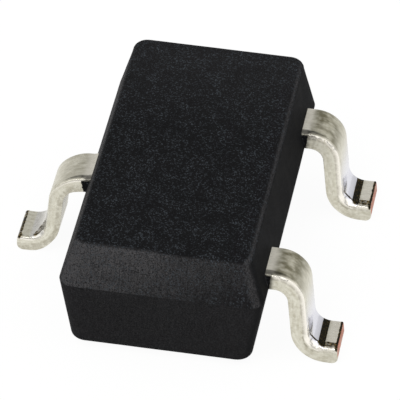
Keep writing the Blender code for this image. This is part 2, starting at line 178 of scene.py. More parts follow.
def read_attribute(tree: Tree, name: str, output: str = "Fac") -> Socket:
    """Return one of the attributes that the piece carries."""
    return add_node(tree, "ShaderNodeAttribute", {"attribute_name": name}).outputs[output]


def soft_noise(
        tree: Tree, place: Socket, size: float, detail: float = 2.0, roughness: float = 0.5) -> Socket:
    """Return smooth noise.

    Args:
        tree: the node tree.
        place: the coordinates that it is drawn in.
        size: the size of its waves.
        detail: how many finer layers it has.
        roughness: how strong the finer layers are.

    Returns:
        The noise's level.
    """
    return add_node(tree, "ShaderNodeTexNoise", None, {
        "Vector": place, "Scale": 1 / size, "Detail": detail, "Roughness": roughness}).outputs["Fac"]


def remap(
        tree: Tree, value: Socket, source: Range, target: Range = (0.0, 1.0),
        kind: str = "LINEAR") -> Socket:
    """Carry a value from one range to another, and keep it inside.

    Args:
        tree: the node tree.
        value: the value.
        source: the range that it comes from.
        target: the range that it goes to.
        kind: how it changes in between.

    Returns:
        The new value.
    """
    return add_node(tree, "ShaderNodeMapRange", {"interpolation_type": kind}, {
        "Value": value, "From Min": source[0], "From Max": source[1],
        "To Min": target[0], "To Max": target[1]}).outputs["Result"]


def calculate(tree: Tree, operation: str, *values: Socket | float) -> Socket:
    """Return the result of one operation on sockets or numbers."""
    node = add_node(tree, "ShaderNodeMath", {"operation": operation}, dict(enumerate(values)))
    return node.outputs["Value"]


def mix_colours(tree: Tree, factor: Socket, first: Socket | str, second: Socket | str) -> Socket:
    """Mix two colours.

    Args:
        tree: the node tree.
        factor: how much of the second there is.
        first: a hex colour or a socket.
        second: the same.

    Returns:
        The mixed colour.
    """
    start, end = [linear(colour) if isinstance(colour, str) else colour for colour in (first, second)]
    node = add_node(tree, "ShaderNodeMix", {"data_type": "RGBA"}, {"Factor": factor, 6: start, 7: end})
    return node.outputs[2]


def mix_levels(tree: Tree, factor: Socket, first: Socket, second: float) -> Socket:
    """Return a mix of a value and a fixed level."""
    node = add_node(tree, "ShaderNodeMix", {"data_type": "FLOAT"}, {"Factor": factor, 2: first, 3: second})
    return node.outputs[0]


def stretch_place(
        tree: Tree, place: Socket, width: float, shares: tuple[float, float, float],
        turn: float = 0.0) -> Socket:
    """Scale coordinates so that a noise of size 1 is drawn as streaks.

    Args:
        tree: the node tree.
        place: the coordinates.
        width: the streaks' width.
        shares: how fast the noise changes along each axis, 1 being across the streaks.
        turn: how far they are turned about Z.

    Returns:
        The scaled coordinates.
    """
    return add_node(tree, "ShaderNodeMapping", None, {
        "Vector": place, "Rotation": (0.0, 0.0, math.radians(turn)),
        "Scale": tuple(share / width for share in shares)}).outputs["Vector"]


def close_material(
        tree: Tree, height: Socket, strength: Socket | float, depth: float, inputs: dict) -> None:
    """End a material with its relief and its shader.

    Args:
        tree: the node tree.
        height: the relief's pattern.
        strength: how strongly the relief shows.
        depth: how deep it is.
        inputs: the shader's other inputs, by name.
    """
    relief = {"Height": height, "Strength": strength, "Distance": depth}
    normal = add_node(tree, "ShaderNodeBump", None, relief).outputs["Normal"]
    shader = add_node(tree, "ShaderNodeBsdfPrincipled", None, {"Normal": normal, **inputs})
    add_node(tree, "ShaderNodeOutputMaterial", None, {"Surface": shader.outputs["BSDF"]})


def set_ramp(node: bpy.types.Node, stops: Iterable[Range]) -> None:
    """Give a colour ramp its grey levels.

    Args:
        node: the ColorRamp node.
        stops: place from 0 to 1 and grey level of each stop, in order.
    """
    ramp = node.color_ramp
    places = list(stops)
    for place, level in places[2:]:
        ramp.elements.new(place)
    for element, (place, level) in zip(ramp.elements, sorted(places)):
        element.position = place
        element.color = (level, level, level, 1.0)


# Small tools


def near(value: float, target: float) -> bool:
    """Tell whether two coordinates are the same place."""
    return abs(value - target) < MERGE


def rise(value: float, low: float, high: float) -> float:
    """Return 0 below low, 1 above high and a smooth rise between them."""
    share = min(max((value - low) / (high - low), 0.0), 1.0)
    return share * share * (3.0 - 2.0 * share)


def fall(value: float, low: float, high: float) -> float:
    """Return 1 below low, 0 above high and a smooth fall between them."""
    return 1.0 - rise(value, low, high)


def window(value: float, low: float, high: float, blend: float) -> float:
    """Return 1 between two limits and 0 outside them, with a soft change at each.

    Args:
        value: what is looked at.
        low: the lower limit.
        high: the upper limit.
        blend: half the width of each change.

    Returns:
        A level from 0 to 1.
    """
    return rise(value, low - blend, low + blend) * fall(value, high - blend, high + blend)


def waves(place: Vector, length: Vector | float) -> float:
    """Return smooth noise at a place.

    Args:
        place: the place.
        length: the waves' length, the same along each axis or one for each.

    Returns:
        A level between about -1 and 1.
    """
    if isinstance(length, Vector):
        return noise.noise(Vector((place.x / length.x, place.y / length.y, place.z / length.z)))
    return noise.noise(place / length)


def direction(azimuth: float, elevation: float) -> Vector:
    """Return the direction from the chip to a camera or a lamp.

    Args:
        azimuth: the turn from -Y towards +X, in degrees.
        elevation: the angle above the table, in degrees.

    Returns:
        A unit vector.
    """
    turn = math.radians(azimuth)
    tilt = math.radians(elevation)
    return Vector((math.sin(turn) * math.cos(tilt), -math.cos(turn) * math.cos(tilt), math.sin(tilt)))


def spread(low: float, high: float, step: float) -> list[float]:
    """Return evenly spaced places between two limits, which aren't among them.

    Args:
        low: the lower limit.
        high: the upper limit.
        step: about how far apart they are.

    Returns:
        The places, in order.
    """
    count = max(1, round((high - low) / step))
    return [low + (high - low) * index / count for index in range(1, count)]


def cut_across(bm: BMesh, axis: int, places: Iterable[float]) -> None:
    """Cut rings of edges round a bmesh at several places along one axis.

    Args:
        bm: the bmesh.
        axis: 0, 1 or 2 for X, Y or Z.
        places: the coordinates of the cuts.
    """
    normal = Vector((0.0, 0.0, 0.0))
    normal[axis] = 1.0
    for place in places:
        whole = bm.verts[:] + bm.edges[:] + bm.faces[:]
        bmesh.ops.bisect_plane(bm, geom=whole, plane_co=normal * place, plane_no=normal, dist=MERGE)


def round_edges(bm: BMesh, edges: list, radius: float, segments: int) -> None:
    """Round some edges of a bmesh.

    Args:
        bm: the bmesh.
        edges: the edges.
        radius: the round's radius.
        segments: how many strips of faces make it.
    """
    bmesh.ops.bevel(
        bm, geom=edges, offset=radius, offset_type="OFFSET", affect="EDGES",
        segments=segments, profile=0.5, material=-1, clamp_overlap=True)


def edges_where(bm: BMesh, test: Callable[[Vector], bool]) -> list:
    """Return the edges whose two ends both pass a test of their place."""
    return [edge for edge in bm.edges if all(test(vert.co) for vert in edge.verts)]


def block(low: Vector, high: Vector) -> BMesh:
    """Make a box.

    Args:
        low: its corner with the lowest coordinates.
        high: the opposite corner.

    Returns:
        A bmesh of the box.
    """
    bm = bmesh.new()
    bmesh.ops.create_cube(bm, size=1.0)
    bmesh.ops.scale(bm, vec=high - low, verts=bm.verts[:])
    bmesh.ops.translate(bm, vec=(high + low) / 2, verts=bm.verts[:])
    return bm


def push_side(bm: BMesh, way: float, end: float, reach: float) -> None:
    """Extrude one side of a flat blank outwards, up to a place along the blank.

    Args:
        bm: the blank.
        way: 1 for the side that faces +Y and -1 for the other.
        end: the place along X where the extruded part ends.
        reach: how far it comes out.
    """
    faces = [face for face in bm.faces
             if face.normal.y * way > 0.5 and face.calc_center_median().x < end]
    grown = bmesh.ops.extrude_face_region(bm, geom=faces)["geom"]
    bmesh.ops.delete(bm, geom=faces, context="FACES_ONLY")
    moved = [item for item in grown if isinstance(item, bmesh.types.BMVert)]
    bmesh.ops.translate(bm, vec=Vector((0.0, way * reach, 0.0)), verts=moved)


def hand_over(name: str, bm: BMesh) -> Mesh:
    """Turn a bmesh into a mesh, and free it.

    Args:
        name: the mesh's name.
        bm: the bmesh.

    Returns:
        The mesh.
    """
    mesh = bpy.data.meshes.new(name)
    bm.to_mesh(mesh)
    bm.free()
    return mesh


def new_object(name: str, data: bpy.types.ID) -> Object:
    """Make an object in the scene, at the origin.

    Args:
        name: the object's name.
        data: what it holds.

    Returns:
        The object.
    """
    item = bpy.data.objects.new(name, data)
    bpy.context.scene.collection.objects.link(item)
    return item


def add_piece(name: str, mesh: Mesh, materials: list, sharp_angle: float) -> Object:
    """Make an object of a mesh, shaded smooth up to an angle.

    Args:
        name: the piece's name.
        mesh: its shape.
        materials: its finishes, in the order of the faces' material numbers.
        sharp_angle: the angle past which an edge stays sharp, in degrees.

    Returns:
        The new object.
    """
    for material in materials:
        mesh.materials.append(material)
    mesh.shade_smooth()
    mesh.set_sharp_from_angle(angle=math.radians(sharp_angle))
    return new_object(name, mesh)


def place_piece(piece: Object, node: str) -> None:
    """Let a piece stand for a solid, on the chip's one body.

    Args:
        piece: the piece.
        node: the solid's name.
    """
    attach(piece, ROOT)
    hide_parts(node)
    LOG.info("%s stands for %s, %d faces", piece.name, node, len(piece.data.polygons))


def grown_copy(node: str, item: Object, gap: float) -> Object:
    """Make a merged copy of a solid that is larger all round by a gap.

    Args:
        node: the solid's name.
        item: the solid's object, which stays as it is.
        gap: how far each face moves outwards.

    Returns:
        The copy.
    """
    bm = bmesh.new()
    bm.from_mesh(item.data)
    bmesh.ops.remove_doubles(bm, verts=bm.verts[:], dist=MERGE)
    bm.normal_update()
    shifts = [(vert, vert.normal * vert.calc_shell_factor() * gap) for vert in bm.verts]
    for vert, shift in shifts:
        vert.co += shift
    name = f"space_for_{node}"
    return new_object(name, hand_over(name, bm))


def combine(base: Object, tools: list[tuple[Object, str]]) -> Mesh:
    """Join or cut an object with others, and remove them all.

    Args:
        base: the object that is worked on.
        tools: the other objects, each with UNION or DIFFERENCE.

    Returns:
        The resulting mesh.
    """
    for tool, operation in tools:
        modifier = base.modifiers.new(tool.name, "BOOLEAN")
        modifier.operation = operation
        modifier.solver = "EXACT"
        modifier.object = tool
    bpy.context.view_layer.update()
    mesh = bpy.data.meshes.new_from_object(base.evaluated_get(bpy.context.evaluated_depsgraph_get()))
    mesh.materials.clear()
    for item in [base] + [tool for tool, operation in tools]:
        bpy.data.objects.remove(item, do_unlink=True)
    return mesh


# Finishes


@dataclass(frozen=True)
class EpoxyMouldCompound:
    """Silica-filled black epoxy mould compound.

    The mould's spark-eroded walls leave a fine, faintly sparkling grain on the top
    and a greyer tone on the upper ends. Painted light lies over that grey: the ends
    are painted lighter towards -X and higher up, painted highlights lie on the left
    upper flank and along the rounded right top edge, and the lower ends and the
    top's far end are painted lighter. The polished walls leave a smooth, dark sheen.
    The grain is drawn slightly coarser than the real one, so that it shows.
    """

    colour: str = "#161617"
    dark_colour: str = "#121213"
    # Grey of the upper ends, also the colour of the painted light and painted highlights on the body
    bloom_and_highlight_colour: str = "#3e3d3e"
    fleck_colour: str = "#33373b"
    grain_size: float = 10 * MICRON
    fleck_size: float = 9 * MICRON
    fleck_chance: Range = (0.72, 1.0)
    fleck_density: Range = (0.45, 1.2)
    mottle_size: float = 150 * MICRON
    mottle_span: Range = (0.35, 0.65)
    drag_width: float = 14 * MICRON
    drag_shares: tuple[float, float, float] = (1.0, 1.0, 0.12)
    drag_level: Range = (0.65, 1.25)
    speckle_level: Range = (0.1, 1.9)
    roughness: Range = (0.51, 0.64)
    refraction: float = 1.5
    specular: float = 0.01
    relief_strength: Range = (0.08, 0.5)
    relief_depth: float = 3 * MICRON

    def build(self) -> Material:
        """Return the material, which reads the body's grain attribute and its grey tone with the painted
        light over it.
        """
        material, tree = new_material("epoxy_mould_compound")
        place = add_node(tree, "ShaderNodeTexCoord").outputs["Object"]
        grain = read_attribute(tree, GRAIN)
        bloom_and_light = read_attribute(tree, BLOOM_AND_LIGHT)
        fine = soft_noise(tree, place, self.grain_size, 1.0)
        mottle = soft_noise(tree, place, self.mottle_size, 3.0, 0.55)
        flecks = add_node(tree, "ShaderNodeTexVoronoi", {"feature": "F1"}, {
            "Vector": place, "Scale": 1 / self.fleck_size, "Randomness": 1.0})
        pick = add_node(tree, "ShaderNodeSeparateColor", None, {"Color": flecks.outputs["Color"]})
        chosen = remap(tree, pick.outputs["Red"], self.fleck_chance, kind="SMOOTHSTEP")
        density = remap(tree, mottle, self.mottle_span, self.fleck_density)
        sparkle = calculate(tree, "MULTIPLY", chosen, density)
        fleck_mask = calculate(tree, "MULTIPLY", sparkle, grain)
        drag_place = stretch_place(tree, place, self.drag_width, self.drag_shares)
        drag = remap(tree, soft_noise(tree, drag_place, 1.0, 1.0), NOISE_SPAN, self.drag_level)
        speckle = remap(tree, fine, NOISE_SPAN, self.speckle_level)
        dragged = calculate(tree, "MULTIPLY", drag, speckle)
        # Grey tone of the ends, with painted light and painted highlights, laid over the base colour
        bloom_and_light_level = calculate(tree, "MULTIPLY", dragged, bloom_and_light)
        base = mix_colours(tree, remap(tree, mottle, NOISE_SPAN), self.dark_colour, self.colour)
        ground = mix_colours(tree, bloom_and_light_level, base, self.bloom_and_highlight_colour)
        tone = mix_colours(tree, fleck_mask, ground, self.fleck_colour)
        sheen = remap(tree, mottle, NOISE_SPAN, self.roughness)
        strength = remap(tree, grain, (0.0, 1.0), self.relief_strength)
        close_material(tree, fine, strength, self.relief_depth, {
            "Base Color": tone, "Roughness": sheen,
            "IOR": self.refraction, "Specular IOR Level": self.specular})
        return material


@dataclass(frozen=True)
class MatteTinPlating:
    """Matte tin, electroplated a few micrometres thick over a stamped copper alloy.

    Its fine crystals blur what it reflects, more so where the sheet was stretched
    round the upper bend, which is duller and painted darker, partly as painted shade;
    the foot's sides are painted darker as shade. The rims carry a painted highlight,
    near white, whose colour also pales the top beside the body and on the foot. The
    forming tool has ironed the drop smooth, and there the colour is painted lighter
    and bluer, a painted reflection. It left a dark mark with brown cracks across the
    heel, and a band of painted shade in the same dark colour runs beside the rim
    round the heel and along the foot. Where the punch tore the sheet, its side is
    grey and rough. A dark thread along the rim next to the body is partly bled resin
    and partly a painted reflection, with a painted shadow at its root by the wall.
    """

    colour: str = "#e3e0d1"
    rubbed_colour: str = "#c0bba8"
    # Colour of the painted rim highlight, which also pales the top beside the body and on the foot
    rim_highlight_colour: str = "#fffaf0"
    # Lighter, bluer colour on the smoothed drop, a painted reflection
    smoothed_and_reflection_colour: str = "#dedee5"
    # Olive of the stretched bend with its painted shade, also the painted shade on the foot's sides
    stretched_and_shaded_colour: str = "#76725d"
    fracture_colour: str = "#969080"
    # Dark colour of the tool's mark, also of the painted shade beside the rim
    mark_and_shade_colour: str = "#1b190f"
    fleck_colour: str = "#a58a4c"
    # Colour of the resin thread and of the painted shadow at the rim's root
    bleed_and_shade_colour: str = "#1d1c17"
    crystal_size: float = 9 * MICRON
    cloud_size: float = 32 * MICRON
    blotch_size: float = 70 * MICRON
    streak_width: float = 9 * MICRON
    streak_shares: tuple[float, float, float] = (0.12, 1.0, 0.4)
    streak_turn: float = 28.0
    rubbed_span: Range = (0.80, 1.35)
    blotch_span: Range = (0.35, 0.62)
    blotch_level: Range = (0.35, 1.0)
    pit_span: Range = (0.42, 0.58)
    pit_level: Range = (0.4, 1.0)
    crack_span: Range = (0.62, 0.70)
    crack_level: Range = (0.0, 0.9)
    crack_opening: float = 0.2
    raggedness: float = 1.1
    grip_span: Range = (0.3, 0.6)
    matte_roughness: Range = (0.38, 0.26)
    stretched_roughness: float = 0.52
    burnished_roughness: float = 0.14
    rim_roughness: float = 0.20
    relief_strength: float = 0.32
    relief_depth: float = 1.2 * MICRON

    def build(self) -> Material:
        """Return the material, which reads the strip's own place and all six attributes: marks of its
        making, with the painted highlight, reflection and shade among them.
        """
        material, tree = new_material("matte_tin_plating")
        place = read_attribute(tree, STRIP, "Vector")
        burnish_and_reflection, stretch_and_shade, rim, mark_and_shade, fracture, bleed_and_shade = [
            read_attribute(tree, name) for name in (BURNISH_AND_REFLECTION, STRETCH_AND_SHADE, RIM_HIGHLIGHT, MARK_AND_SHADE, FRACTURE, BLEED_AND_SHADE)]
        crystals = soft_noise(tree, place, self.crystal_size)
        clouds = soft_noise(tree, place, self.cloud_size, 3.0, 0.6)
        blotches = soft_noise(tree, place, self.blotch_size, 3.0, 0.6)
        streak_place = stretch_place(
            tree, place, self.streak_width, self.streak_shares, self.streak_turn)
        streaks = soft_noise(tree, streak_place, 1.0)
        rubbed = remap(tree, calculate(tree, "ADD", clouds, streaks), self.rubbed_span)
        tin = mix_colours(tree, rubbed, self.colour, self.rubbed_colour)
        # Lighter, bluer colour on the smoothed drop: a painted reflection
        smooth = mix_colours(tree, burnish_and_reflection, tin, self.smoothed_and_reflection_colour)
        blotched = remap(tree, blotches, self.blotch_span, self.blotch_level)
        # Olive on the upper bend, partly stretched plating and partly painted shade, and painted shade on
        # the foot's sides
        dulled_and_shaded = calculate(tree, "MULTIPLY", blotched, stretch_and_shade)
        olive = mix_colours(tree, dulled_and_shaded, smooth, self.stretched_and_shaded_colour)
        pitted = remap(tree, clouds, self.pit_span, self.pit_level)
        torn = calculate(tree, "MULTIPLY", pitted, fracture)
        broken = mix_colours(tree, torn, olive, self.fracture_colour)
        # Painted highlight along the rims, near white, which also pales the top beside the body and on the
        # foot
        bright = mix_colours(tree, rim, broken, self.rim_highlight_colour)
        opening = calculate(tree, "MULTIPLY_ADD", mark_and_shade, -self.crack_opening, self.crack_opening)
        open_cracks = calculate(tree, "ADD", crystals, opening)
        cracks = remap(tree, open_cracks, self.crack_span, self.crack_level)
        mark = mix_colours(tree, cracks, self.mark_and_shade_colour, self.fleck_colour)
        # The tool's mark in the heel, the toe's line, and a band of painted shade beside the rim
        grip = calculate(tree, "MULTIPLY_ADD", clouds, self.raggedness, mark_and_shade)
        ragged_mark_and_shade = remap(tree, grip, tuple(self.raggedness / 2 + limit for limit in self.grip_span))
        marked = mix_colours(tree, ragged_mark_and_shade, bright, mark)
        # Dark thread along the rim, partly resin and partly painted reflection, with painted shadow at its
        # root
        tone = mix_colours(tree, bleed_and_shade, marked, self.bleed_and_shade_colour)
        matte = remap(tree, rubbed, (0.0, 1.0), self.matte_roughness)
        worked = mix_levels(tree, stretch_and_shade, matte, self.stretched_roughness)
        ironed = mix_levels(tree, burnish_and_reflection, worked, self.burnished_roughness)
        sheen = mix_levels(tree, rim, ironed, self.rim_roughness)
        close_material(tree, crystals, self.relief_strength, self.relief_depth, {
            "Base Color": tone, "Roughness": sheen, "Metallic": 1.0})
        return material


@dataclass(frozen=True)
class ShearedCopper:
    """Bare copper alloy where the lead was cut from its frame after plating.

    The cut leaves fine streaks through the sheet, and drags a little tin over it
    from the top.
    """

    colour: str = "#cf7a52"
    dark_colour: str = "#87452a"
    tin_colour: str = "#b9b4a5"
    streak_width: float = 7 * MICRON
    streak_shares: tuple[float, float, float] = (1.0, 1.0, 0.08)
    streak_span: Range = (0.35, 0.65)
    patch_size: float = 38 * MICRON
    patch_span: Range = (0.56, 0.66)
    patch_level: Range = (0.0, 0.7)
    roughness: float = 0.42
    relief_strength: float = 0.5
    relief_depth: float = 1.5 * MICRON

    def build(self) -> Material:
        """Return the material, which reads the strip's own place."""
        material, tree = new_material("sheared_copper")
        place = read_attribute(tree, STRIP, "Vector")
        streak_place = stretch_place(tree, place, self.streak_width, self.streak_shares)
        streaks = soft_noise(tree, streak_place, 1.0)
        copper = mix_colours(tree, remap(tree, streaks, self.streak_span), self.colour, self.dark_colour)
        smear = remap(tree, soft_noise(tree, place, self.patch_size), self.patch_span, self.patch_level)
        tone = mix_colours(tree, smear, copper, self.tin_colour)
        close_material(tree, streaks, self.relief_strength, self.relief_depth, {
            "Base Color": tone, "Roughness": self.roughness, "Metallic": 1.0})
        return material


@dataclass(frozen=True)
class HiddenFinish:
    """A finish inside the body: a ground colour that specks of a second colour break up."""

    name: str
    colour: str
    speck_colour: str
    speck_size: float
    roughness: float
    metallic: float
    speck_span: Range = (0.4, 0.65)
    sheen_level: Range = (0.85, 1.15)
    relief_strength: float = 0.2
    relief_depth: float = 1 * MICRON

    def build(self) -> Material:
        """Return the material."""
        material, tree = new_material(self.name)
        place = add_node(tree, "ShaderNodeTexCoord").outputs["Object"]
        specks = soft_noise(tree, place, self.speck_size)
        tone = mix_colours(tree, remap(tree, specks, self.speck_span), self.colour, self.speck_colour)
        roughness = tuple(self.roughness * level for level in self.sheen_level)
        sheen = remap(tree, specks, NOISE_SPAN, roughness)
        close_material(tree, specks, self.relief_strength, self.relief_depth, {
            "Base Color": tone, "Roughness": sheen, "Metallic": self.metallic})
        return material


# Body


@dataclass(frozen=True)
class MouldMarks:
    """Where the mould left its grain on the body, and where a grey tone and painted light lie over it.

    A facing is a range of how far a point's normal turns towards a direction.
    """

    body_width: float
    body_half_length: float
    top_edge: float
    parting_blend: float = 4 * MICRON
    top_facing: Range = (0.15, 0.6)
    left_corner: Range = (0.15, 0.5)
    right_corner: Range = (0.6, 0.9)
    rounding: Range = (0.55, 0.95)
    upper_grain: float = 0.9
    lower_grain: float = 0.12
    least_grain: float = 0.10
    # Painted light: the ends are painted lighter towards -X, fading towards +X, more so low down
    fade_start: float = 0.08
    fade_run: float = 0.75
    fade: float = 0.74
    low_fade: float = 0.6
    patch_size: float = 0.35 * MM
    patch_level: float = 0.9
    patch_swing: float = 0.3
    # Grey tone of the ends, partly their grain's own grey and partly painted light, stronger higher up
    end_reach: float = 0.3 * MM
    end_bloom_and_light: float = 0.85
    end_rise: float = 0.25
    # Painted highlight on the left upper flank
    left_facing: Range = (0.6, 0.9)
    left_edge_highlight: float = 0.45
    # Painted highlight along the rounded right top edge
    edge_start: Range = (0.25, 0.5)
    edge_end: Range = (0.7, 0.9)
    right_edge_highlight: float = 0.6
    # Painted light on the lower end facets, and on the top towards its far end
    lower_end_light: float = 0.14
    far_top_light: float = 0.12

    def upper(self, spot: Vector) -> float:
        """Return how far a point lies above the parting line."""
        return rise(spot.z, PARTING_Z, PARTING_Z + self.parting_blend)

    def on_end(self, spot: Vector, facing: Vector) -> float:
        """Return how far a point belongs to one of the body's two ends."""
        # The ends, with their grain and painted light, reach further round the left corners than the right
        # ones, which stay darker
        corner = self.left_corner if spot.x < 0.0 else self.right_corner
        return rise(abs(facing.y), *corner) * fall(facing.z, *self.rounding)

    def grain(self, spot: Vector, facing: Vector) -> float:
        """Return how much grain a point has.

        Args:
            spot: the point.
            facing: its normal.

        Returns:
            A level from 0 to 1.
        """
        upper = self.upper(spot)
        end_grain = self.upper_grain * upper + self.lower_grain * (1.0 - upper)
        on_top = rise(facing.z, *self.top_facing)
        return max(on_top, self.on_end(spot, facing) * end_grain, self.least_grain)

    def bloom_and_light(self, spot: Vector, facing: Vector) -> float:
        """Return how grey a point is, partly the ends' own grey and partly painted light and painted
        highlights.

        Args:
            spot: the point.
            facing: its normal.

        Returns:
            A level from 0 to about 1.
        """
        upper = self.upper(spot)
        on_end = self.on_end(spot, facing)
        height = rise(spot.z, PARTING_Z, self.top_edge)
        # Painted light: the ends lighter towards -X and higher up, fading more low down towards +X
        lost = min(max((spot.x / self.body_width + 0.5 - self.fade_start) / self.fade_run, 0.0), 1.0)
        fade = (1.0 - self.fade * lost) * (1.0 - self.low_fade * lost * (1.0 - height))
        patch = self.patch_level + self.patch_swing * waves(spot, self.patch_size)
        reach = fall(self.body_half_length - abs(spot.y), 0.0, self.end_reach)
        end = on_end * fade * (self.end_bloom_and_light + self.end_rise * height) * reach
        # Painted highlights on the left upper flank and along the rounded right top edge
        left = rise(-facing.x, *self.left_facing) * self.left_edge_highlight
        edge = rise(facing.x, *self.edge_start) * fall(facing.x, *self.edge_end) * self.right_edge_highlight
        # Painted light on the lower ends and on the top towards its far end
        lower = self.lower_end_light * on_end * (1.0 - upper)
        on_top = rise(facing.z, *self.top_facing)
        far = self.far_top_light * on_top * rise(spot.y, 0.0, self.body_half_length)
        return max(upper * patch * max(end, left, edge), lower, far)


@dataclass(frozen=True)
class MouldedBody:
    """The epoxy body: two drafted halves on a parting line, with torn resin beside each lead."""

    length: float = 2.90 * MM
    width: float = 1.60 * MM
    upper_side_draft: float = 14.0
    upper_end_draft: float = 3.0
    lower_side_draft: float = 8.5
    lower_end_draft: float = 10.0
    corner_radius: float = 0.12 * MM
    top_edge_radius: float = 0.06 * MM
    bottom_edge_radius: float = 0.045 * MM
    corner_steps: int = 8
    edge_steps: int = 5
    mesh_step: float = 32 * MICRON
    parting_step: float = 4 * MICRON
    ripple: float = 0.9 * MICRON
    ripple_length: float = 130 * MICRON
    stub_wall: float = 0.015 * MM
    stub_inset: float = 0.012 * MM
    stub_step: float = 6 * MICRON
    stub_taper: float = 0.4
    stub_root: float = 0.01 * MM
    tear_share: float = 0.3
    tear_wave: float = 18 * MICRON
    crumble: float = 5 * MICRON
    crumble_wave: float = 7.8 * MICRON
    bare_rim: float = 2 * MICRON
    gap: float = 4 * MICRON
    sharp_angle: float = 32.0

    def taper(self, bm: BMesh, height: float, side: float, end: float) -> None:
        """Draw in the corners at one height by the draft of the sides and of the ends.

        Args:
            bm: the body's bmesh.
            height: the corners' height.
            side: the draft of the long sides, in degrees.
            end: the draft of the ends, in degrees.
        """
        depth = abs(height - PARTING_Z)
        for vert in bm.verts:
            if near(vert.co.z, height):
                vert.co.x -= math.copysign(depth * math.tan(math.radians(side)), vert.co.x)
                vert.co.y -= math.copysign(depth * math.tan(math.radians(end)), vert.co.y)

    def hull(self) -> BMesh:
        """Return the smooth outer block."""
        half = Vector((self.width / 2, self.length / 2, 0.0))
        bm = block(UP * STANDOFF - half, UP * TOP_Z + half)
        upright = [edge for edge in bm.edges if near(edge.verts[0].co.x, edge.verts[1].co.x)
                   and near(edge.verts[0].co.y, edge.verts[1].co.y)]
        round_edges(bm, upright, self.corner_radius, self.corner_steps)
        cut_across(bm, 2, [PARTING_Z])
        self.taper(bm, TOP_Z, self.upper_side_draft, self.upper_end_draft)
        self.taper(bm, STANDOFF, self.lower_side_draft, self.lower_end_draft)
        for level, radius in ((TOP_Z, self.top_edge_radius), (STANDOFF, self.bottom_edge_radius)):
            round_edges(bm, edges_where(bm, lambda spot: near(spot.z, level)), radius, self.edge_steps)
        return bm

    def ripple_faces(self, bm: BMesh) -> None:
        """Give the faces the slight unevenness that the resin's shrinking leaves.

        Args:
            bm: the body's bmesh.
        """
        cut_across(bm, 0, spread(-self.width / 2, self.width / 2, self.mesh_step))
        cut_across(bm, 1, spread(-self.length / 2, self.length / 2, self.mesh_step))
        cut_across(bm, 2, spread(STANDOFF, PARTING_Z, self.mesh_step))
        cut_across(bm, 2, spread(PARTING_Z, TOP_Z, self.mesh_step))
        cut_across(bm, 2, [PARTING_Z + self.parting_step])
        bm.normal_update()
        shifts = []
        for vert in bm.verts:
            depth = self.ripple * (0.5 + 0.5 * waves(vert.co, self.ripple_length))
            shifts.append((vert, vert.normal * depth))
        for vert, shift in shifts:
            vert.co -= shift

    def torn_stub(self, role: LeadRole, lead: LeadForm) -> Object:
        """Make the resin that wraps both sides of one lead, torn where it was trimmed.

        Args:
            role: which lead it is.
            lead: the lead's sizes.

        Returns:
            The resin, ready to be joined to the body.
        """
        y = role.middle(lead)
        reach = self.width / 2 + role.stub_reach
        root = self.width / 2 - self.corner_radius
        half = lead.width / 2 + self.stub_wall
        bottom = lead.middle_z - lead.thickness / 2 + self.stub_inset
        top = lead.middle_z + lead.thickness / 2 * (1.0 - lead.top_thinning) - self.stub_inset
        level = (bottom + top) / 2
        bm = block(Vector((root, y - half, bottom)), Vector((reach, y + half, top)))
        cut_across(bm, 0, spread(root, reach, self.stub_step))
        cut_across(bm, 1, spread(y - half, y + half, self.stub_step))
        cut_across(bm, 2, spread(bottom, top, self.stub_step))
        for vert in bm.verts:
            if vert.co.x > (root + reach) / 2:
                ragged = 0.5 + 0.5 * waves(vert.co + UP * y, self.tear_wave)
                fine = 0.5 + 0.5 * waves(vert.co, self.crumble_wave)
                torn = self.tear_share * ragged + self.stub_taper * (top - vert.co.z) / (top - bottom)
                out = rise(vert.co.x, self.width / 2 - self.stub_root, reach)
                vert.co.x -= torn * role.stub_reach * out
                away = rise(abs(vert.co.z - level), 0.0, (top - bottom) / 2)
                vert.co.z -= math.copysign(self.crumble * fine, vert.co.z - level) * away
        bmesh.ops.scale(bm, vec=(role.side, 1.0, 1.0), verts=bm.verts[:])
        if role.side < 0:
            bmesh.ops.reverse_faces(bm, faces=bm.faces[:])
        name = f"stub_{role.name.lower()}"
        return new_object(name, hand_over(name, bm))

    def paint(self, mesh: Mesh) -> None:
        """Paint how much grain each point has, and how grey it is with the painted light, apart from the
        resin beside the leads.

        Args:
            mesh: the body's mesh.
        """
        marks = MouldMarks(self.width, self.length / 2, TOP_Z - self.top_edge_radius)
        grain = mesh.attributes.new(GRAIN, "FLOAT", "POINT")
        bloom_and_light = mesh.attributes.new(BLOOM_AND_LIGHT, "FLOAT", "POINT")
        for vert, normal in zip(mesh.vertices, mesh.vertex_normals):
            if abs(vert.co.x) <= self.width / 2 - self.bare_rim:
                grain.data[vert.index].value = marks.grain(vert.co, normal.vector)
                bloom_and_light.data[vert.index].value = marks.bloom_and_light(vert.co, normal.vector)

    def build(self, frame: dict, forms: dict[LeadRole, LeadForm], epoxy: Material) -> Object:
        """Build the body round everything that it holds.

        Args:
            forms: each lead's sizes.
            epoxy: the finish.

        Returns:
            The piece.
        """
        bm = self.hull()
        self.ripple_faces(bm)
        base = new_object("epoxy_body", hand_over("epoxy_body", bm))
        tools = [(self.torn_stub(role, form), "UNION") for role, form in forms.items()]
        tools += [(grown_copy(node, item, self.gap), "DIFFERENCE")
                  for node, item in frame["nodes"].items() if node != BODY_NODE]
        mesh = combine(base, tools)
        self.paint(mesh)
        piece = add_piece("epoxy_body", mesh, [epoxy], self.sharp_angle)
        place_piece(piece, BODY_NODE)
        return piece


# Leads


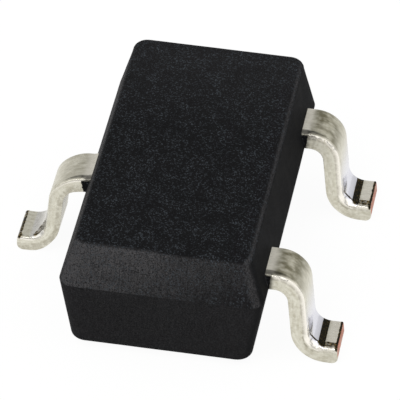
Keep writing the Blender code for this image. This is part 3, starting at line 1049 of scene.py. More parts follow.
class LeadRole(Enum):
    """The three leads, each with its solid, its side, its row and the resin left beside it."""

    SUPPLY = ("lead_supply", 1.0, -1.0, 0.013 * MM)
    OUTPUT = ("lead_output", 1.0, 1.0, 0.021 * MM)
    GROUND = ("lead_ground_paddle", -1.0, 0.0, 0.050 * MM)

    @property
    def node(self) -> str:
        """Return the name of the solid."""
        return self.value[0]

    @property
    def side(self) -> float:
        """Return 1 for a lead on the +X side and -1 for the -X side."""
        return self.value[1]

    @property
    def row(self) -> float:
        """Return -1, 0 or 1 for the lead's place along the body."""
        return self.value[2]

    @property
    def stub_reach(self) -> float:
        """Return how far the torn resin beside the lead stands out of the body."""
        return self.value[3]

    def middle(self, lead: LeadForm) -> float:
        """Return the Y of the lead's middle line."""
        return self.row * lead.pitch / 2


@dataclass(frozen=True)
class StripPlaces:
    """Where the parts of a lead's flat strip begin and end along it."""

    wall: float
    bend_start: float
    bend_end: float
    heel_start: float
    heel_end: float
    toe: float

    def in_bend(self, share: float) -> float:
        """Return the place at a share of the way round the upper bend."""
        return self.bend_start + share * (self.bend_end - self.bend_start)

    def in_heel(self, share: float) -> float:
        """Return the place at a share of the way round the heel."""
        return self.heel_start + share * (self.heel_end - self.heel_start)


@dataclass(frozen=True)
class RimPoint:
    """A point of a lead's flat blank, seen from the rim that faces the camera.

    The edge is its distance from the side that carries the rim, the radius is the
    rim's own, and below is how far it lies under the rim.
    """

    spot: Vector
    normal: Vector
    seed: Vector
    edge: float
    radius: float
    below: float

    @property
    def top(self) -> float:
        """Return how far the point belongs to the top face."""
        return rise(self.normal.z, *FLAT_FACING)

    @property
    def side(self) -> float:
        """Return how far the point belongs to a stamped side."""
        return rise(abs(self.normal.y), *FLAT_FACING)


@dataclass(frozen=True)
class ResinBleedAndShade:
    """The dark thread along a lead's rim next to the body, partly bled resin and partly a painted
    reflection, with a painted shadow at its root by the wall.

    A reach or a root is a range of distances from the body's wall.
    """

    narrowing: float = 0.5
    narrowing_run: float = 0.2 * MM
    inset: float = 0.014 * MM
    inset_run: float = 0.05 * MM
    inner_blend: float = 8 * MICRON
    outer_edge: Range = (0.054 * MM, 0.072 * MM)
    reach: Range = (0.04 * MM, 0.24 * MM)
    root_depth: float = 0.85
    root_width: Range = (0.01 * MM, 0.03 * MM)
    root_reach: Range = (0.012 * MM, 0.034 * MM)
    cloud_level: float = 0.75
    cloud_swing: float = 0.35
    cloud_size: float = 22 * MICRON

    def level(self, point: RimPoint, places: StripPlaces) -> float:
        """Return how much resin and painted shade lie on a point.

        Args:
            point: the point of the blank.
            places: where the strip's parts are.

        Returns:
            A level from 0 to about 1.
        """
        away = point.spot.x - places.wall
        narrower = 1.0 - self.narrowing * rise(away, 0.0, self.narrowing_run)
        inner = self.inset * rise(away, 0.0, self.inset_run)
        outer = [edge * narrower for edge in self.outer_edge]
        # Thread along the rim: partly resin, partly painted reflection
        thread = rise(point.edge, inner, inner + self.inner_blend) * fall(point.edge, *outer)
        # Painted shadow at the root, where the lead meets the body
        root = self.root_depth * fall(point.edge, *self.root_width) * fall(away, *self.root_reach)
        cloud = self.cloud_level + self.cloud_swing * waves(point.spot, self.cloud_size)
        return max(point.top * thread * fall(away, *self.reach), root) * cloud


@dataclass(frozen=True)
class LeadWear:
    """What stamping, plating and forming left on a lead, with the painted highlight, reflection and shade
    laid over it, and how strongly each shows.

    A level or a depth runs from 0 to 1. A share is part of the way round the upper
    bend or the heel. A facing is a range of how far a point's normal turns towards
    a direction, and an offset is a range of distances along the strip.
    """

    # Stretched plating and painted shade on the upper bend, and painted shade on the foot's sides
    dulled_and_shaded: float = 1.0
    dull_lead: float = 0.03 * MM
    dull_share: float = 0.10
    fresh_share: float = 0.35
    foot_side_shade: float = 0.2
    foot_share: float = 0.3
    # The smoothed drop, which is also painted lighter and bluer as a reflection
    smoothed: float = 1.0
    smooth_blend: float = 0.04 * MM
    smooth_offset: Range = (-0.03 * MM, -0.01 * MM)
    torn: float = 0.12
    torn_heights: Range = (-0.16, 0.04)
    under_facing: Range = (0.5, 0.9)
    groove: float = 0.9
    groove_offset: Range = (-2 * MICRON, 12 * MICRON)
    fine_blend: float = 4 * MICRON
    # Painted highlight along the rims and its fade along the foot, and the top painted paler beside the
    # body and on the foot
    root_run: float = 0.06 * MM
    pale_root: float = 0.4
    pale_foot: float = 0.4
    foot_blend: float = 0.01 * MM
    drop_rim: float = 1.0
    rim_start: Range = (0.10, 0.30)
    rim_end: Range = (0.72, 0.90)
    rim_highlight_fade: float = 0.7
    rim_highlight_fade_offset: Range = (-0.02 * MM, 0.04 * MM)
    marked: float = 1.0
    mark_from: float = 0.66
    mark_to: float = 0.94
    mark_facing: Range = (0.85, 0.97)
    toe_line: float = 1.0
    toe_line_width: float = 7 * MICRON
    toe_line_facing: Range = (0.2, 0.5)
    # Band of painted shade beside the rim, round the heel and along the foot
    shade_from: float = 0.6
    shade_to: float = 1.0
    shade_lead: float = 0.02 * MM
    shade_share: float = 0.3
    shade_start: float = 0.75
    shade_facing: Range = (0.5, 0.95)
    shade_turn: float = 0.25
    shade_wander: float = 8 * MICRON
    shade_wave: float = 30 * MICRON
    heel_shade: float = 0.018 * MM
    heel_depth: float = 0.85
    foot_shade: float = 0.075 * MM
    foot_depth: float = 0.6
    foot_spread: float = 0.35

    def stretch_and_shade(self, point: RimPoint, places: StripPlaces) -> float:
        """Return how dull and dark the plating is painted: stretched plating with painted shade on the
        upper bend, and painted shade on the foot's sides.

        Args:
            point: the point of the blank.
            places: where the strip's parts are.

        Returns:
            A level from 0 to 1.
        """
        x = point.spot.x
        begun = rise(x, places.wall - self.dull_lead, places.in_bend(self.dull_share))
        bend = begun * fall(x, places.in_bend(self.fresh_share), places.bend_end)
        foot = self.foot_side_shade * rise(x, places.in_heel(self.foot_share), places.heel_end)
        return max(point.top * self.dulled_and_shaded * bend, point.side * foot)

    def smooth(self, point: RimPoint, places: StripPlaces) -> float:
        """Return how far the forming tool has ironed the drop smooth; this level also paints it lighter
        and bluer, a painted reflection.

        Args:
            point: the point of the blank.
            places: where the strip's parts are.

        Returns:
            A level from 0 to 1.
        """
        x = point.spot.x
        begun = rise(x, places.bend_end - self.smooth_blend, places.heel_start + self.smooth_blend)
        ended = fall(x, *(places.heel_end + offset for offset in self.smooth_offset))
        return point.top * self.smoothed * begun * ended

    def fracture(self, point: RimPoint, half: float) -> float:
        """Return how torn the sheet's side is: rough below, with a thin line under the rim.

        Args:
            point: the point of the blank.
            half: half the sheet's thickness.

        Returns:
            A level from 0 to 1.
        """
        rough = self.torn * fall(point.spot.z, *(height * half for height in self.torn_heights))
        under = self.torn * rise(-point.normal.z, *self.under_facing)
        line = self.groove * window(point.below, *self.groove_offset, self.fine_blend)
        return max(point.side * max(rough, line), under)

    def shine(self, point: RimPoint, places: StripPlaces) -> float:
        """Return how strong the painted highlight along the rims is, and how pale the top is painted
        beside the body and on the foot.

        Args:
            point: the point of the blank.
            places: where the strip's parts are.

        Returns:
            A level from 0 to 1.
        """
        x, up = point.spot.x, point.normal.z
        drop = rise(x, places.bend_start, places.bend_end) * fall(x, places.heel_start, places.heel_end)
        out = rise(x, places.wall, places.wall + self.root_run)
        shown = out * (1.0 - (1.0 - self.drop_rim) * drop)
        foot = rise(x, places.heel_end - self.foot_blend, places.heel_end + self.foot_blend)
        band = rise(up, *self.rim_start) * fall(up, *self.rim_end)
        onward = rise(x, *(places.heel_end + offset for offset in self.rim_highlight_fade_offset))
        # The painted rim highlight fades along the foot
        highlight_share = 1.0 - self.rim_highlight_fade * self.pale_foot * onward
        pale = max(self.pale_root * (1.0 - out), self.pale_foot * foot)
        return max(band * shown * highlight_share, point.top * pale)

    def painted_shade(self, point: RimPoint, places: StripPlaces) -> float:
        """Return how dark the band of painted shade beside the rim is, round the heel and along the foot.

        Args:
            point: the point of the blank.
            places: where the strip's parts are.

        Returns:
            A level from 0 to 1.
        """
        x = point.spot.x
        onward = rise(x, places.in_heel(self.shade_from), places.in_heel(self.shade_to))
        width = self.heel_shade + (self.foot_shade - self.heel_shade) * onward
        depth = self.heel_depth + (self.foot_depth - self.heel_depth) * onward
        wander = self.shade_wander * waves(point.spot - point.seed, self.shade_wave)
        begun = rise(x, places.heel_start - self.shade_lead, places.in_heel(self.shade_share))
        start = (self.shade_start - self.foot_spread * onward) * point.radius
        upward = rise(point.normal.z, *(limit - self.shade_turn * onward for limit in self.shade_facing))
        band = window(point.edge, start, start + width + wander, self.fine_blend)
        return upward * depth * begun * band

    def mark_and_shade(self, point: RimPoint, places: StripPlaces, toe_rim: float) -> float:
        """Return how dark the tool's mark in the heel, the band of painted shade and the toe's line are.

        Args:
            point: the point of the blank.
            places: where the strip's parts are.
            toe_rim: where the toe's upper rim begins.

        Returns:
            A level from 0 to 1.
        """
        x, up = point.spot.x, point.normal.z
        ends = [places.in_heel(share) for share in (self.mark_from, self.mark_to)]
        mark = rise(up, *self.mark_facing) * self.marked * window(x, *ends, self.fine_blend)
        at_toe = rise(x, toe_rim - self.toe_line_width, toe_rim)
        line = rise(up, *self.toe_line_facing) * self.toe_line * at_toe
        return max(mark, line, self.painted_shade(point, places))


@dataclass(frozen=True)
class LeadForm:
    """A gull-wing lead: stamped from sheet, widened inside the body, and bent."""

    pitch: float = 1.90 * MM
    width: float = 0.36 * MM
    thickness: float = 0.14 * MM
    sink: float = 0.03 * MM
    body_half_width: float = 0.80 * MM
    shoulder: float = 0.045 * MM
    upper_radius: float = 0.11 * MM
    lower_radius: float = 0.14 * MM
    lean: float = 7.0
    foot: float = 0.10 * MM
    rim_radius: float = 0.030 * MM
    rim_steps: int = 6
    under_radius: float = 0.012 * MM
    under_steps: int = 3
    toe_roll: float = 0.052 * MM
    toe_rim: float = 0.012 * MM
    toe_slant: float = 0.010 * MM
    toe_slack: float = 2 * MICRON
    near_rim: float = 0.037 * MM
    heel_rim: float = 0.066 * MM
    foot_rim: float = 0.030 * MM
    swell_share: float = 0.45
    shrink_share: float = 0.50
    top_thinning: float = 0.0
    top_shares: Range = (0.6, 0.4)
    top_blend: float = 0.1 * MM
    under_thinning: float = 0.0
    under_shares: Range = (0.4, 0.6)
    under_blend: float = 0.08 * MM
    thinning_lead: float = 0.06 * MM
    paddle_length: float = 1.20 * MM
    paddle_width: float = 0.72 * MM
    paddle_far_x: float = 0.46 * MM
    paddle_downset: float = 0.15 * MM
    jog_radius: float = 0.05 * MM
    jog_slope: float = 45.0
    jog_run: float = 0.05 * MM
    jog_steps: int = 10
    tip_x: float = 0.37 * MM
    tip_depth: float = 0.26 * MM
    tip_reach: float = 0.26 * MM
    tab_radius: float = 0.06 * MM
    fillet_radius: float = 0.03 * MM
    corner_steps: int = 5
    mesh_step: float = 12 * MICRON
    rim_step: float = 5 * MICRON
    rim_band: float = 0.03 * MM
    wall_lead: float = 0.01 * MM
    relief: float = 0.5 * MICRON
    relief_run: float = 0.03 * MM
    relief_wave: float = 34 * MICRON
    fine_wave: float = 13 * MICRON
    fine_share: float = 0.6
    shear_wave: tuple[float, float, float] = (11 * MICRON, 1 * MM, 160 * MICRON)
    shear_share: float = 1.6
    burr: float = 6 * MICRON
    burr_width: float = 16 * MICRON
    sharp_angle: float = 40.0
    wear: LeadWear = LeadWear()
    bleed_and_shade: ResinBleedAndShade = ResinBleedAndShade()

    @property
    def middle_z(self) -> float:
        """Return the height of a lead's middle plane where it leaves the body."""
        return PARTING_Z - self.sink + self.thickness / 2

    def outer_path(self, inner_x: float) -> Path:
        """Return the middle line from inner_x to the toe, as runs and bends.

        Args:
            inner_x: where the path starts, counted outwards along X.

        Returns:
            The length of each run or bend and the angle that it turns down by.
        """
        turn = math.radians(90.0 - self.lean)
        upper = self.upper_radius + self.thickness / 2
        lower = self.lower_radius + self.thickness / 2
        drop = self.middle_z - self.thickness / 2 - (upper + lower) * (1 - math.cos(turn))
        start = self.body_half_width + self.shoulder - inner_x
        return [
            (start, 0.0), (upper * turn, turn), (drop / math.sin(turn), 0.0),
            (lower * turn, -turn), (self.foot, 0.0)]

    def paddle_path(self) -> Path:
        """Return the middle line from the paddle's near edge to the toe."""
        slope = math.radians(self.jog_slope)
        bend = self.jog_radius + self.thickness / 2
        ramp = (self.paddle_downset - 2 * bend * (1 - math.cos(slope))) / math.sin(slope)
        level = self.paddle_width + self.jog_run
        end_x = self.paddle_far_x + self.jog_run + 2 * bend * math.sin(slope) + ramp * math.cos(slope)
        step_up = [(level, 0.0), (bend * slope, -slope), (ramp, 0.0), (bend * slope, slope)]
        return step_up + self.outer_path(end_x)

    def places(self, path: Path) -> StripPlaces:
        """Return where the outer parts of a strip begin and end.

        Args:
            path: the runs and bends that the strip follows.

        Returns:
            The places along the strip.
        """
        reached = [0.0]
        for length, turn in path:
            reached.append(reached[-1] + length)
        toe, heel_end, heel_start, bend_end, bend_start = reached[:-6:-1]
        return StripPlaces(bend_start - self.shoulder, bend_start, bend_end, heel_start, heel_end, toe)

    def stations(self, path: Path) -> list[float]:
        """Return the places along a flat strip where it has to be cut to follow the bends.

        Args:
            path: the runs and bends that the strip follows.

        Returns:
            The places, in order.
        """
        cuts = []
        reached = 0.0
        for length, turn in path:
            steps = 1 if turn == 0.0 else self.jog_steps
            cuts += [reached + length * (step + 1) / steps for step in range(steps)]
            reached += length
        return cuts[:-1]

    def bent(self, path: Path, start: Vector, flat: Vector) -> Vector:
        """Carry a point of the flat strip to its place on the bent one.

        Args:
            path: the runs and bends that the strip follows.
            start: where its middle line starts.
            flat: the point.

        Returns:
            The point's new place.
        """
        place = start.copy()
        heading = 0.0
        left = flat.x
        for index, (length, turn) in enumerate(path):
            last = index == len(path) - 1
            used = left if last else min(left, length)
            if turn == 0.0:
                place += Vector((math.cos(heading), 0.0, -math.sin(heading))) * used
            else:
                radius = length / turn
                after = heading + used / radius
                chord = Vector((
                    math.sin(after) - math.sin(heading), 0.0, math.cos(after) - math.cos(heading)))
                place += chord * radius
                heading = after
            left -= used
            if left <= 0.0:
                break
        normal = Vector((math.sin(heading), 0.0, math.cos(heading)))
        return place + normal * flat.z + Vector((0.0, flat.y, 0.0))

    def round_corners(self, bm: BMesh, spots: list[tuple[float, float]], radius: float) -> None:
        """Round the upright edges of a flat blank that stand at some spots.

        Args:
            bm: the blank.
            spots: the X and Y of each edge.
            radius: the round's radius.
        """
        def stands(edge: bmesh.types.BMEdge) -> bool:
            """Tell whether an edge stands at one of the spots."""
            return any(
                all(near(vert.co.x, x) and near(vert.co.y, y) for vert in edge.verts) for x, y in spots)

        round_edges(bm, [edge for edge in bm.edges if stands(edge)], radius, self.corner_steps)

    def signal_blank(self, role: LeadRole, length: float) -> BMesh:
        """Make a signal lead's flat blank, whose inner tab turns towards the middle.

        Args:
            role: which lead it is.
            length: how long the blank is.

        Returns:
            The blank.
        """
        middle = role.middle(self)
        inward = -role.row
        half = Vector((0.0, self.width / 2, self.thickness / 2))
        bm = block(Vector((0.0, middle, 0.0)) - half, Vector((length, middle, 0.0)) + half)
        cut_across(bm, 0, [self.tip_depth])
        push_side(bm, inward, self.tip_depth, self.tip_reach)
        flank = middle + inward * self.width / 2
        tab = flank + inward * self.tip_reach
        outer = [(0.0, tab), (self.tip_depth, tab), (0.0, middle - inward * self.width / 2)]
        self.round_corners(bm, outer, self.tab_radius)
        self.round_corners(bm, [(self.tip_depth, flank)], self.fillet_radius)
        return bm

    def paddle_blank(self, length: float) -> BMesh:
        """Make the flat blank of the paddle's lead.

        Args:
            length: how long the blank is.

        Returns:
            The blank.
        """
        half = Vector((0.0, self.width / 2, self.thickness / 2))
        bm = block(-half, Vector((length, 0.0, 0.0)) + half)
        cut_across(bm, 0, [self.paddle_width])
        wing = (self.paddle_length - self.width) / 2
        ways = (-1.0, 1.0)
        for way in ways:
            push_side(bm, way, self.paddle_width, wing)
        outer = [(x, way * self.paddle_length / 2) for x in (0.0, self.paddle_width) for way in ways]
        self.round_corners(bm, outer, self.tab_radius)
        inner = [(self.paddle_width, way * self.width / 2) for way in ways]
        self.round_corners(bm, inner, self.fillet_radius)
        return bm

    def finish_edges(self, bm: BMesh, middle: float) -> None:
        """Round the long rims of a blank and roll its toe over.

        Args:
            bm: the blank.
            middle: the Y of its middle line.
        """
        half = self.thickness / 2
        toe = max(vert.co.x for vert in bm.verts)
        low_toe = edges_where(bm, lambda spot: near(spot.x, toe) and near(spot.z, -half))
        round_edges(bm, low_toe, self.toe_roll, self.rim_steps)
        high_toe = edges_where(bm, lambda spot: near(spot.x, toe) and near(spot.z, half))
        for vert in {vert for edge in high_toe for vert in edge.verts}:
            vert.co.x -= self.toe_slant
        round_edges(bm, high_toe, self.toe_rim, self.under_steps)
        for level, radius, steps in (
                (half, self.rim_radius, self.rim_steps), (-half, self.under_radius, self.under_steps)):
            for flank in (middle - self.width / 2, middle + self.width / 2):
                rim = edges_where(bm, lambda spot: near(spot.y, flank) and near(spot.z, level))
                round_edges(bm, rim, radius, steps)

    def cut_finely(self, bm: BMesh, role: LeadRole, path: Path, places: StripPlaces) -> None:
        """Cut a blank finely enough to be bent, to carry its wear and marks, and to take its painted
        highlight and shade.

        Args:
            bm: the blank.
            role: which lead it is.
            path: the runs and bends that it follows.
            places: where the strip's parts are.
        """
        wear = self.wear
        middle = role.middle(self)
        ends = [places.in_heel(share) for share in (wear.mark_from, wear.mark_to)]
        marks = [end + shift for end in ends for shift in (-wear.fine_blend, wear.fine_blend)]
        flat = self.width / 2 - self.rim_radius
        rim = middle - role.side * (flat - self.rim_band)
        side = spread(-self.thickness / 2, self.thickness / 2 - self.rim_radius, self.mesh_step)
        cut_across(bm, 0, self.stations(path[:-4]) if role is LeadRole.GROUND else [])
        cut_across(bm, 0, spread(places.wall - self.wall_lead, places.toe, self.mesh_step))
        cut_across(bm, 0, marks)
        cut_across(bm, 1, spread(middle - flat, middle + flat, self.mesh_step))
        cut_across(bm, 1, spread(rim - self.rim_band, rim + self.rim_band, self.rim_step))
        cut_across(bm, 2, side)

    def rim_radius_at(self, x: float, places: StripPlaces) -> float:
        """Return the radius of the rim that faces the camera, which is widest in the heel.

        Args:
            x: a place along the strip.
            places: where the strip's parts are.

        Returns:
            The radius.
        """
        swell = rise(x, places.heel_start, places.in_heel(self.swell_share))
        shrink = rise(x, places.in_heel(self.shrink_share), places.heel_end)
        bent = self.near_rim + (self.heel_rim - self.near_rim) * swell
        return bent + (self.foot_rim - bent) * shrink

    def roll_rim(self, spot: Vector, flank: float, radius: float) -> Vector:
        """Return where a point of the flat blank goes when its upper rim is rounder.

        Args:
            spot: the point.
            flank: the Y of the side that the rim is on.
            radius: the rim's new radius.

        Returns:
            The point's new place, on the blank.
        """
        inward = math.copysign(1.0, spot.y - flank)
        across = radius - abs(spot.y - flank)
        down = radius - (self.thickness / 2 - spot.z)
        reach = math.hypot(across, down)
        if across <= 0.0 or down <= 0.0 or reach <= radius:
            return spot
        share = 1.0 - radius / reach
        return spot + Vector((0.0, inward * across * share, -down * share))

    def reshape(self, bm: BMesh, flank: float, places: StripPlaces) -> None:
        """Roll the rim that faces the camera rounder, and thin the strip.

        It is thinned from above on its shoulder and its foot, and from below on its drop.

        Args:
            bm: the blank.
            flank: the Y of the side that the rim is on.
            places: where the strip's parts are.
        """
        above = [places.in_bend(self.top_shares[0]), places.in_heel(self.top_shares[1])]
        below = [places.in_bend(self.under_shares[0]), places.in_heel(self.under_shares[1])]
        for vert in bm.verts:
            vert.co = self.roll_rim(vert.co, flank, self.rim_radius_at(vert.co.x, places))
            x = vert.co.x
            outside = rise(x, places.wall - self.thinning_lead, places.wall)
            top = self.top_thinning * outside * (1.0 - window(x, *above, self.top_blend))
            under = self.under_thinning * window(x, *below, self.under_blend)
            vert.co.z *= 1.0 - (top if vert.co.z > 0.0 else under)
        bm.normal_update()

    def lift(self, point: RimPoint, corner: Vector, places: StripPlaces) -> Vector:
        """Return how far a point moves for the strip's tiny relief and the burr at its toe.

        Args:
            point: the point of the blank.
            corner: the X and Y of the toe's corner that keeps a burr.
            places: where the strip's parts are.

        Returns:
            The shift.
        """
        spot, side = point.spot, point.side
        out = rise(spot.x, places.wall - self.wall_lead, places.wall + self.relief_run)
        coarse = waves(spot + point.seed, self.relief_wave)
        swell = coarse + self.fine_share * waves(spot - point.seed, self.fine_wave)
        shear = waves(spot, Vector(self.shear_wave))
        depth = self.relief * out * ((1.0 - side) * swell + self.shear_share * side * shear - 1.0)
        away = (spot.xy - corner).length / self.burr_width
        burr = self.burr * math.exp(-away ** 2) if point.top > 0.0 else 0.0
        return point.normal * depth + UP * burr

    def roughen(self, bm: BMesh, role: LeadRole, places: StripPlaces) -> None:
        """Note each point's place on the flat strip, wear it, paint its highlight, reflection and shade,
        and raise its tiny relief.

        Args:
            bm: the flat blank, cut finely.
            role: which lead it is.
            places: where the strip's parts are.
        """
        strip = bm.verts.layers.float_vector.new(STRIP)
        names = (BURNISH_AND_REFLECTION, STRETCH_AND_SHADE, RIM_HIGHLIGHT, MARK_AND_SHADE, FRACTURE, BLEED_AND_SHADE)
        layers = [bm.verts.layers.float.new(name) for name in names]
        middle = role.middle(self)
        half = self.thickness / 2
        seed = Vector((0.0, 0.0, 3.0 + role.row + role.side)) * MM
        flank = middle - role.side * self.width / 2
        corner_y = middle + role.side * (self.width - self.rim_radius) / 2
        corner = Vector((places.toe - self.toe_rim, corner_y))
        toe_rim = places.toe - self.toe_slant - self.toe_rim
        self.reshape(bm, flank, places)
        shifts = []
        for vert in bm.verts:
            spot = vert.co.copy()
            radius = self.rim_radius_at(spot.x, places)
            edge = abs(spot.y - flank)
            point = RimPoint(spot, vert.normal.copy(), seed, edge, radius, half - radius - spot.z)
            levels = (
                self.wear.smooth(point, places), self.wear.stretch_and_shade(point, places),
                self.wear.shine(point, places), self.wear.mark_and_shade(point, places, toe_rim),
                self.wear.fracture(point, half), self.bleed_and_shade.level(point, places))
            vert[strip] = spot + seed
            for layer, level in zip(layers, levels):
                vert[layer] = level
            shifts.append((vert, self.lift(point, corner, places)))
        for vert, shift in shifts:
            vert.co += shift

    def fold(self, bm: BMesh, role: LeadRole, path: Path) -> None:
        """Bend a finished blank and set it where it belongs.

        Args:
            bm: the blank.
            role: which lead it is.
            path: the runs and bends that it follows.
        """
        ground = role is LeadRole.GROUND
        start_x = self.paddle_far_x - self.paddle_width if ground else self.tip_x
        start_z = self.middle_z - self.paddle_downset if ground else self.middle_z
        start = Vector((start_x, 0.0, start_z))
        for vert in bm.verts:
            vert.co = self.bent(path, start, vert.co)
        if ground:
            half_turn = Matrix.Rotation(math.pi, 3, "Z")
            bmesh.ops.rotate(bm, cent=(0.0, 0.0, 0.0), matrix=half_turn, verts=bm.verts[:])

    def build(self, role: LeadRole, tin: Material, copper: Material) -> Object:
        """Build one lead.

        Args:
            role: which lead it is.
            tin: the plating's finish.
            copper: the finish of the cut toe.

        Returns:
            The piece.
        """
        ground = role is LeadRole.GROUND
        path = self.paddle_path() if ground else self.outer_path(self.tip_x)
        places = self.places(path)
        bm = self.paddle_blank(places.toe) if ground else self.signal_blank(role, places.toe)
        self.finish_edges(bm, role.middle(self))
        self.cut_finely(bm, role, path, places)
        self.roughen(bm, role, places)
        cut_x = places.toe - self.toe_slant - self.toe_slack
        for face in bm.faces:
            face.material_index = int(face.normal.x > 0.9 and face.calc_center_median().x > cut_x)
        self.fold(bm, role, path)
        name = f"tinned_lead_{role.name.lower()}"
        piece = add_piece(name, hand_over(name, bm), [tin, copper], self.sharp_angle)
        place_piece(piece, role.node)
        return piece


def left_lead() -> LeadForm:
    """Return the lead on the left, which was bent rounder than the right ones, with other wear, marks,
    painted highlight and painted shade.
    """
    wear = LeadWear(
        dulled_and_shaded=0.35, torn=0.45, smoothed=0.4, marked=0.0, shade_from=0.45, shade_to=0.95,
        heel_shade=0.15 * MM, heel_depth=0.55, foot_shade=0.022 * MM, foot_depth=0.5, toe_line=0.66,
        drop_rim=0.0, groove=0.0, foot_side_shade=0.0, pale_foot=0.0)
    return LeadForm(
        shoulder=0.017 * MM, upper_radius=0.15 * MM, lean=5.0, foot=0.084 * MM, toe_rim=0.026 * MM,
        toe_slant=0.0, top_thinning=0.24, under_thinning=0.30, wear=wear)


# Inner pieces


@dataclass(frozen=True)
class InnerPieces:
    """The die, its glue and its wires, whose solids stay and get their finishes."""

    silicon: HiddenFinish = HiddenFinish("polished_silicon", "#4a4f59", "#5d626c", 40 * MICRON, 0.16, 0.6)
    glue: HiddenFinish = HiddenFinish("silver_filled_epoxy", "#a9a69e", "#d2cfc6", 6 * MICRON, 0.55, 0.35)
    gold: HiddenFinish = HiddenFinish("drawn_gold_wire", "#e0b04a", "#f0c766", 9 * MICRON, 0.22, 1.0)

    def build(self, frame: dict) -> None:
        """Dress the solids.
        """
        finishes = {"sensor_die": self.silicon.build(), "die_glue": self.glue.build()}
        gold = self.gold.build()
        for node, item in frame["nodes"].items():
            if node in finishes or node.startswith("bond_wire"):
                item.data.materials.clear()
                item.data.materials.append(finishes.get(node, gold))
                LOG.info("%s keeps its solid", node)


# Studio


@dataclass(frozen=True)
class PhotoCamera:
    """The camera's place and lens, fitted to the chip's edges in the picture."""

    azimuth: float = 7.972
    elevation: float = 36.244
    roll: float = 2.391
    distance: float = 39.742 * MM
    focal_pixels: float = 5036.4
    picture_pixels: float = 400.0
    right_of_axis: float = 0.0763 * MM
    above_axis: float = -0.0899 * MM
    sensor: float = 36.0
    clip_start: float = 1e-3
    clip_end: float = 5.0

    def build(self) -> None:
        """Make the camera and give it to the scene."""
        turn = math.radians(self.azimuth)
        roll = math.radians(self.roll)
        back = direction(self.azimuth, self.elevation)
        level = Vector((math.cos(turn), math.sin(turn), 0.0))
        upright = back.cross(level)
        right = level * math.cos(roll) + upright * math.sin(roll)
        up = upright * math.cos(roll) - level * math.sin(roll)
        data = bpy.data.cameras.new("photo_camera")
        data.sensor_width = self.sensor
        data.lens = self.focal_pixels / self.picture_pixels * self.sensor
        data.clip_start = self.clip_start
        data.clip_end = self.clip_end
        camera = new_object("photo_camera", data)
        place = back * self.distance + right * self.right_of_axis + up * self.above_axis + UP * PARTING_Z
        camera.matrix_world = Matrix.Translation(place) @ Matrix((right, up, back)).transposed().to_4x4()
        bpy.context.scene.camera = camera


@dataclass(frozen=True)
class SoftLamp:
    """A square softbox that faces the chip."""

    name: str
    azimuth: float
    elevation: float
    distance: float
    side: float
    power: float
    colour: str = "#ffffff"

    def build(self) -> None:
        """Make the lamp."""
        back = direction(self.azimuth, self.elevation)
        data = bpy.data.lights.new(self.name, "AREA")
        data.shape = "SQUARE"
        data.size = self.side
        data.energy = self.power
        data.color = linear(self.colour)[:3]
        lamp = new_object(self.name, data)
        lamp.location = back * self.distance
        lamp.rotation_mode = "QUATERNION"
        lamp.rotation_quaternion = back.to_track_quat("Z", "Y")
        lamp.visible_camera = False


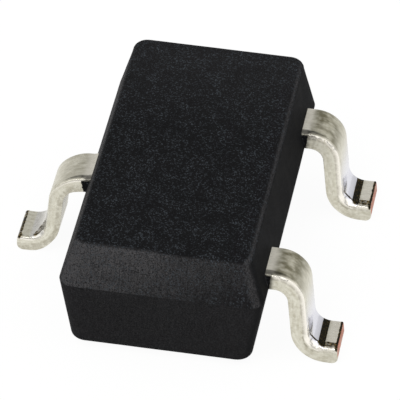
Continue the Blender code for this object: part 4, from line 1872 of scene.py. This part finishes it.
@dataclass(frozen=True)
class Studio:
    """A white table in a room that is bright on the camera's side and dim behind the chip."""

    table_side: float = 0.6
    table_colour: str = "#f4f4f2"
    table_glow: float = 0.95
    sharp_angle: float = 30.0
    front_levels: tuple[Range, ...] = (
        (0.0, 0.30), (0.07, 0.35), (0.16, 1.0), (0.35, 1.3), (0.76, 1.3), (0.88, 0.5), (1.0, 0.18))
    back_levels: tuple[Range, ...] = (
        (0.0, 0.85), (0.20, 0.75), (0.30, 0.55), (0.42, 0.68),
        (0.56, 0.55), (0.68, 0.20), (0.85, 0.12), (1.0, 0.18))
    behind_span: Range = (0.1, 0.5)
    lamps: tuple[SoftLamp, ...] = (
        SoftLamp("key_lamp", -25.0, 50.0, 0.16, 0.08, 0.10),
        SoftLamp("edge_lamp", 135.0, 45.0, 0.16, 0.05, 0.02),
    )

    def build(self) -> None:
        """Make the camera, the table, the room's light and the lamps."""
        PhotoCamera().build()
        self.build_table()
        self.build_room()
        for lamp in self.lamps:
            lamp.build()
        bpy.context.scene.view_settings.view_transform = "Standard"

    def build_table(self) -> None:
        """Make the white table top, which keeps a faint shadow of the chip."""
        bm = bmesh.new()
        bmesh.ops.create_grid(bm, x_segments=1, y_segments=1, size=self.table_side / 2)
        material, tree = new_material("white_table")
        path = add_node(tree, "ShaderNodeLightPath")
        shown = calculate(tree, "MAXIMUM", path.outputs["Is Camera Ray"], path.outputs["Is Glossy Ray"])
        seen = calculate(tree, "MULTIPLY", shown, self.table_glow)
        paper = add_node(tree, "ShaderNodeBsdfDiffuse", None, {"Color": linear(self.table_colour)})
        glow = add_node(tree, "ShaderNodeEmission", None, {"Color": linear("#ffffff"), "Strength": 1.0})
        both = add_node(tree, "ShaderNodeMixShader", None, {
            0: seen, 1: paper.outputs["BSDF"], 2: glow.outputs["Emission"]})
        add_node(tree, "ShaderNodeOutputMaterial", None, {"Surface": both.outputs["Shader"]})
        add_piece("table_top", hand_over("table_top", bm), [material], self.sharp_angle)

    def build_room(self) -> None:
        """Make the world: white to the camera, and soft greys by height and side as light."""
        world = bpy.data.worlds.new("room")
        bpy.context.scene.world = world
        world.use_nodes = True
        tree = world.node_tree
        tree.nodes.clear()
        toward = add_node(tree, "ShaderNodeTexCoord").outputs["Generated"]
        parts = add_node(tree, "ShaderNodeSeparateXYZ", None, {"Vector": toward})
        height = calculate(tree, "ARCSINE", parts.outputs["Z"])
        share = add_node(tree, "ShaderNodeMath", {"operation": "DIVIDE", "use_clamp": True}, {
            0: height, 1: math.pi / 2}).outputs["Value"]
        sides = []
        for levels in (self.front_levels, self.back_levels):
            ramp = add_node(tree, "ShaderNodeValToRGB", None, {"Fac": share})
            set_ramp(ramp, levels)
            sides.append(ramp.outputs["Color"])
        behind = remap(tree, parts.outputs["Y"], self.behind_span, kind="SMOOTHSTEP")
        level = mix_colours(tree, behind, *sides)
        path = add_node(tree, "ShaderNodeLightPath")
        light = add_node(tree, "ShaderNodeBackground", None, {"Color": level, "Strength": 1.0})
        white = add_node(tree, "ShaderNodeBackground", None, {"Color": linear("#ffffff"), "Strength": 1.0})
        both = add_node(tree, "ShaderNodeMixShader", None, {
            0: path.outputs["Is Camera Ray"],
            1: light.outputs["Background"],
            2: white.outputs["Background"]})
        add_node(tree, "ShaderNodeOutputWorld", None, {"Surface": both.outputs["Shader"]})


def main() -> None:
    """Dress the chip piece by piece and light it."""
    logging.basicConfig(level=logging.INFO, format="%(message)s")
    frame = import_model()
    forms = {role: left_lead() if role is LeadRole.GROUND else LeadForm() for role in LeadRole}
    tin = MatteTinPlating().build()
    copper = ShearedCopper().build()
    MouldedBody().build(frame, forms, EpoxyMouldCompound().build())
    for role, form in forms.items():
        form.build(role, tin, copper)
    InnerPieces().build(frame)
    Studio().build()


if __name__ == "__main__":
    main()
